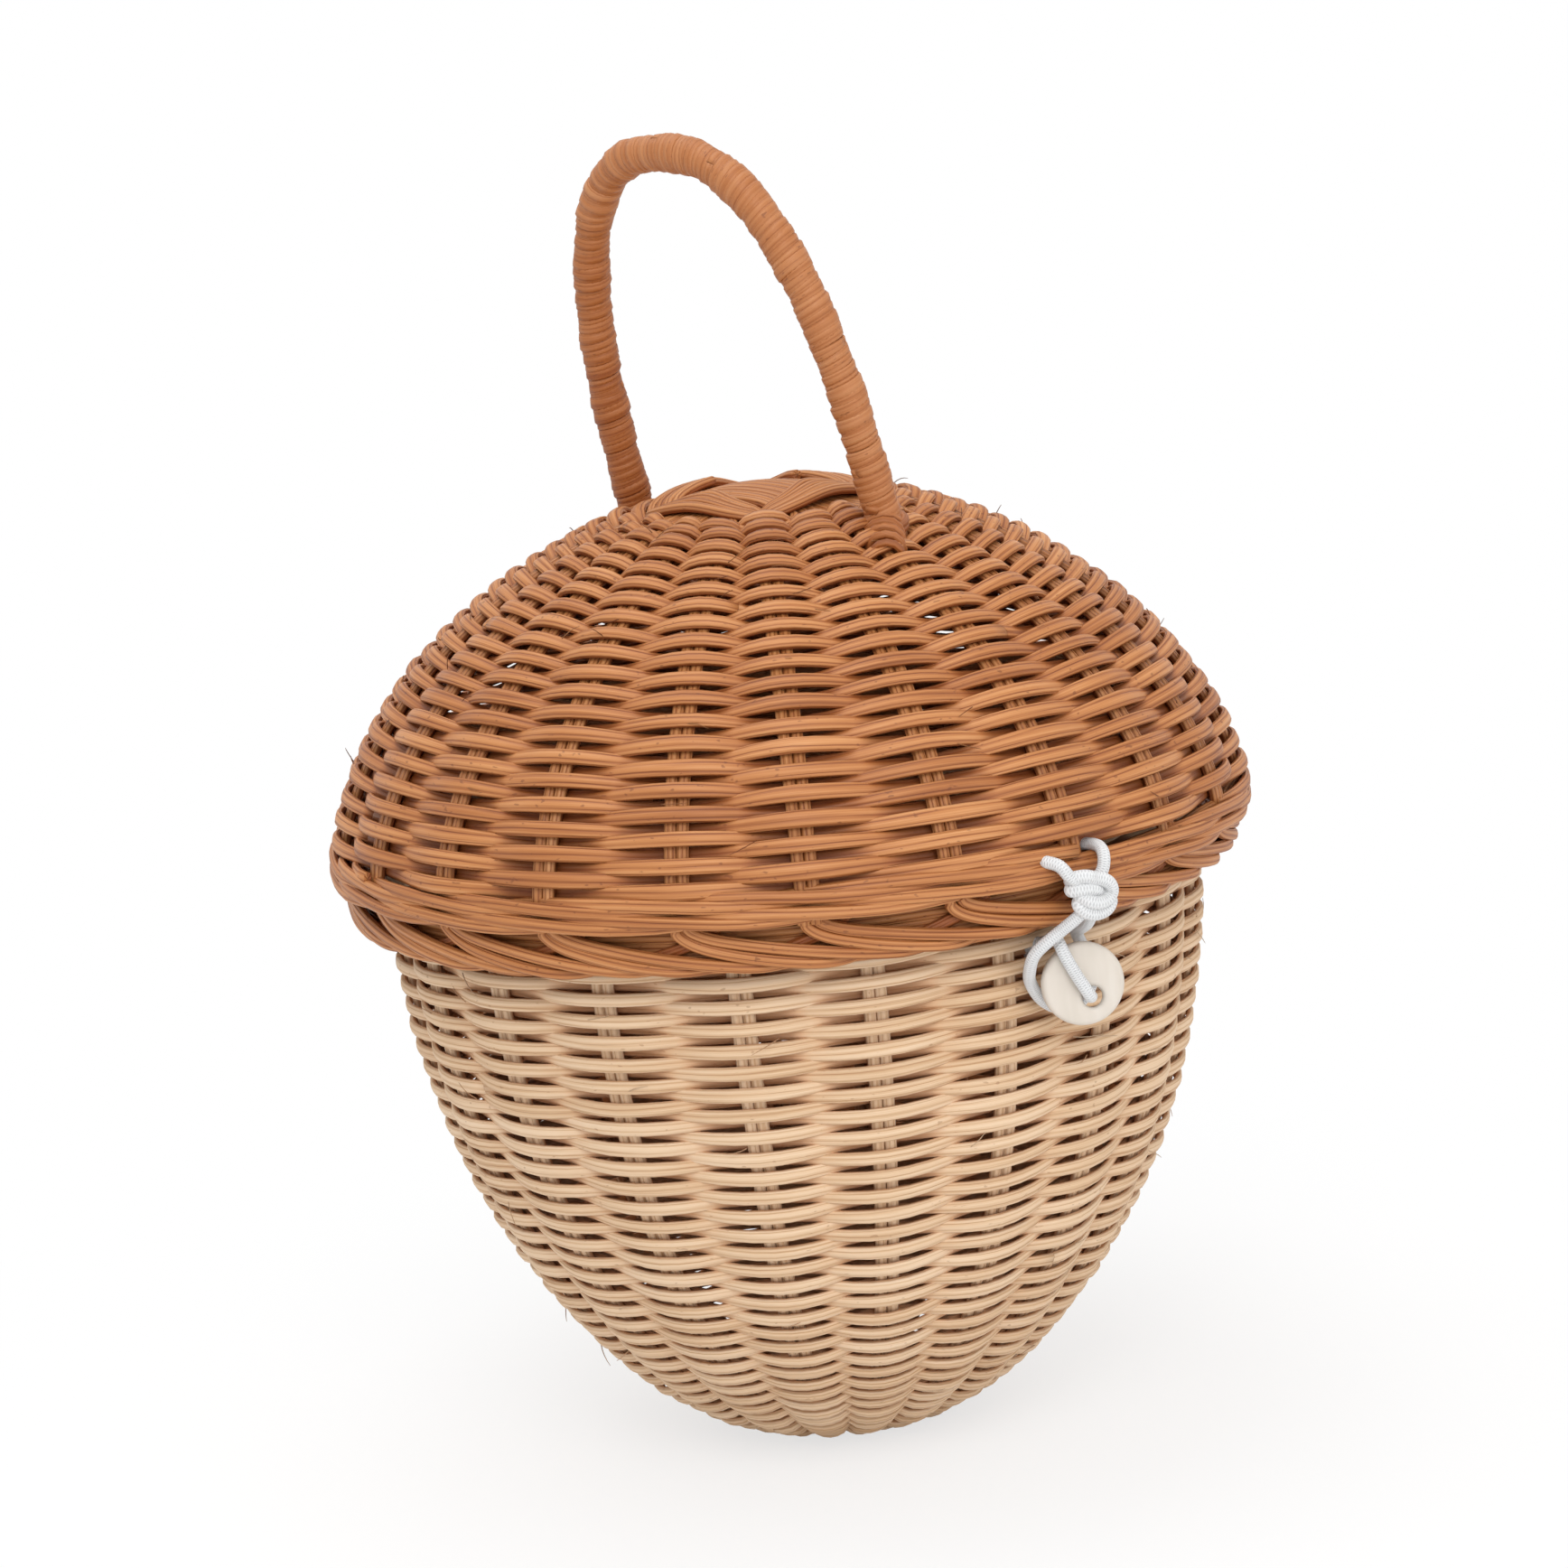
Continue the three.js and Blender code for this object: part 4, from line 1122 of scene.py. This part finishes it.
def addFootWrap(look):
    start = arch[leavesDome(arch, look["above"])]
    away = Matrix.Rotation(radians(look["direction"]), 3, "Z") @ Vector((1, 0, 0))
    course = [start + handleUp * look["rise"] * mm]
    for run in look["runs"]:
        flat = Vector((start.x, start.y, 0)) + away * run * mm
        sunk = look["sunk"] * smoothStep(run, *look["sinking"]) + look["slope"] * run
        course.append(flat + straightUp * (domeHeight(flat.length / mm) - sunk) * mm)
    line = smoothLine(course, look["perSpan"])
    points = []
    for i, spot in enumerate(line):
        along = runAt(line, i).normalized()
        side = along.cross(handleAlong if abs(along.z) > 0.99 else straightUp).normalized()
        over = side.cross(along).normalized()
        angle = tau * i / look["perWrap"]
        reach = (look["radius"] - look["narrowing"] * (i / len(line)) ** 3) * mm
        points.append(spot + (side * cos(angle) + over * sin(angle)) * reach)
    addStrands("handleFootWrap", [{"points": points}], oval(*look["reed"], 10), "lid", "stained_cane")


addCollars(collar)
addFootWrap(footWrap)


# ties: two turns of cane round each leg under the lid
tie = {"turns": 2, "steps": 60, "radius": 4.2, "climb": 2.6, "cane": 2.1}


def addTies(look):
    for name in ("Front", "Back"):
        node = "handle_tie_" + name.lower()
        low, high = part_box(node)
        points = []
        for i in range(look["steps"] + 1):
            share = i / look["steps"]
            angle = tau * look["turns"] * share
            spoke = handleAlong * cos(angle) + handleAcross * sin(angle)
            rise = handleUp * (share - 0.5) * look["climb"] * mm
            points.append((low + high) / 2 + spoke * look["radius"] * mm + rise)
        addStrands("handleTie" + name, [{"points": points}],
                   oval(look["cane"], look["cane"], 10), "lid", "stained_cane", [node])


addTies(tie)


# hinge: each is three turns of cane lashed through both walls

print("hinge")
lashing = {"turns": 3, "perTurn": 40, "cane": 2.0, "spread": 1.6, "inset": 1.5, "sway": 0.4}


def addLashings(look):
    for name in ("Left", "Right"):
        node = "hinge_ring_" + name.lower()
        low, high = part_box(node)
        radius = (high.y - low.y) / 2 - look["inset"] * mm
        points = []
        total = look["perTurn"] * look["turns"]
        for i in range(total):
            past = tau * i / total
            angle = tau * look["turns"] * i / total
            side = look["spread"] * mm * cos(past)
            reach = radius + look["sway"] * mm * sin(past)
            points.append((low + high) / 2 + Vector((side, reach * cos(angle), reach * sin(angle))))
        addStrands("hingeLashing" + name, [{"points": points, "closed": True}],
                   oval(look["cane"], look["cane"], 10), "basket_body", "stained_cane", [node])


addLashings(lashing)


# stray fibres

print("fibres")
fibre = {
    "zone": (0.25, 0.95), "foot": 2.9, "slope": 0.8, "away": 0.25, "shortest": 3,
    "curl": (0.1, 0.5), "curlRise": 0.5, "curlShare": 0.6,
    "stops": (0, 0.25, 0.5, 0.75, 1), "taper": [1, 0.95, 0.85, 0.7, 0.45], "wide": 0.28,
}


def addFibres(name, wall, length, body, slot, count, longest, look):
    strands = []
    for _ in range(count):
        s = uniform(*look["zone"]) * length
        angle = uniform(0, tau)
        point = wallPoint(wall, s, angle, look["foot"] * mm)
        outward = (wallPoint(wall, s, angle, 4 * mm) - point).normalized()
        side = outward.cross(straightUp).normalized()
        course = side * choice((-1, 1))
        course += straightUp * uniform(-look["slope"], look["slope"])
        course += outward * uniform(0, look["away"])
        course.normalize()
        reach = uniform(look["shortest"], longest) * mm
        curl = outward * uniform(*look["curl"])
        curl += straightUp * uniform(-look["curlRise"], look["curlRise"])
        points = [point + course * reach * t + curl * reach * t * (1 - t) * look["curlShare"]
                  for t in look["stops"]]
        strands.append({"points": points, "radii": look["taper"], "tone": uniform(0.5, 1)})
    addStrands(name, strands, oval(look["wide"], look["wide"], 5), body, slot)


addFibres("bodyFibres", bodyWall, bodyLength, "basket_body", "natural_reed", 90, 9, fibre)
addFibres("lidFibres", lidWall, lidLength, "lid", "stained_reed", 60, 8, fibre)


# floor, world and lights

print("stage")
paleFloor = {"half": 4, "color": "#f4f4f4", "roughness": 0.9, "shadowZone": (0.08, 0.34), "white": (0.7, 1)}
worldStrength = 0.72
lampTarget = Vector((0, 0, 0.16))
lamps = [
    {"name": "keyLight", "place": (-0.9, -1.3, 1.5), "size": 1.0, "watts": 15},
    {"name": "fillLight", "place": (0.3, -1.6, 0.4), "size": 1.2, "watts": 4.5},
    {"name": "topLight", "place": (-0.1, 0.3, 1.8), "size": 1.2, "watts": 9},
]


def seenOrMirrored(tree):
    path = addNode(tree, "LightPath")[0]
    mirrors = [(path, "Is Glossy Ray"), (path, "Is Transmission Ray")]
    mirrored = addNode(tree, "Math", mirrors, operation="MAXIMUM")
    return addNode(tree, "Math", [(path, "Is Camera Ray"), mirrored], operation="MAXIMUM")


def addFloor(look):
    # white paper: near the basket it takes a soft shadow, further away the camera sees plain white
    mesher = bmesh.new()
    bmesh.ops.create_grid(mesher, x_segments=2, y_segments=2, size=look["half"])
    mesh = bpy.data.meshes.new("paleFloor")
    mesher.to_mesh(mesh)
    mesher.free()
    floor = addObject("paleFloor", mesh)
    material, tree, shader = newMaterial("paleFloorPaper", {
        "Base Color": linear(look["color"]), "Roughness": look["roughness"]})
    place = addNode(tree, "TexCoord", output="Object")
    away = addNode(tree, "VectorMath", [place], "Value", operation="LENGTH")
    share = addNode(tree, "MapRange", [away, *look["shadowZone"], *look["white"]],
                    interpolation_type="SMOOTHSTEP")
    plain = addNode(tree, "Emission", {"Color": (1, 1, 1, 1), "Strength": 1})
    white = addNode(tree, "Math", [share, seenOrMirrored(tree)], operation="MULTIPLY")
    both = addNode(tree, "MixShader", [white, (shader, 0), plain])
    out = next(node for node in tree.nodes if node.type == "OUTPUT_MATERIAL")
    setInputs(tree, out, {"Surface": both})
    mesh.materials.append(material)


def addWorld(strength):
    world = bpy.data.worlds.new("studioWorld")
    scene.world = world
    world.use_nodes = True
    tree = world.node_tree
    tree.nodes.clear()
    level = addNode(tree, "MapRange", [seenOrMirrored(tree), 0, 1, strength, 1])
    light = addNode(tree, "Background", {"Color": (1, 1, 1, 1), "Strength": level})
    addNode(tree, "OutputWorld", {"Surface": light})


def addLamps(rows):
    for row in rows:
        data = bpy.data.lights.new(row["name"], "AREA")
        data.shape = "SQUARE"
        data.size = row["size"]
        data.energy = row["watts"]
        lamp = addObject(row["name"], data)
        lamp.location = row["place"]
        lamp.rotation_euler = (lampTarget - Vector(row["place"])).to_track_quat("-Z", "Y").to_euler()


addFloor(paleFloor)
addWorld(worldStrength)
addLamps(lamps)
scene.view_settings.view_transform = "Standard"
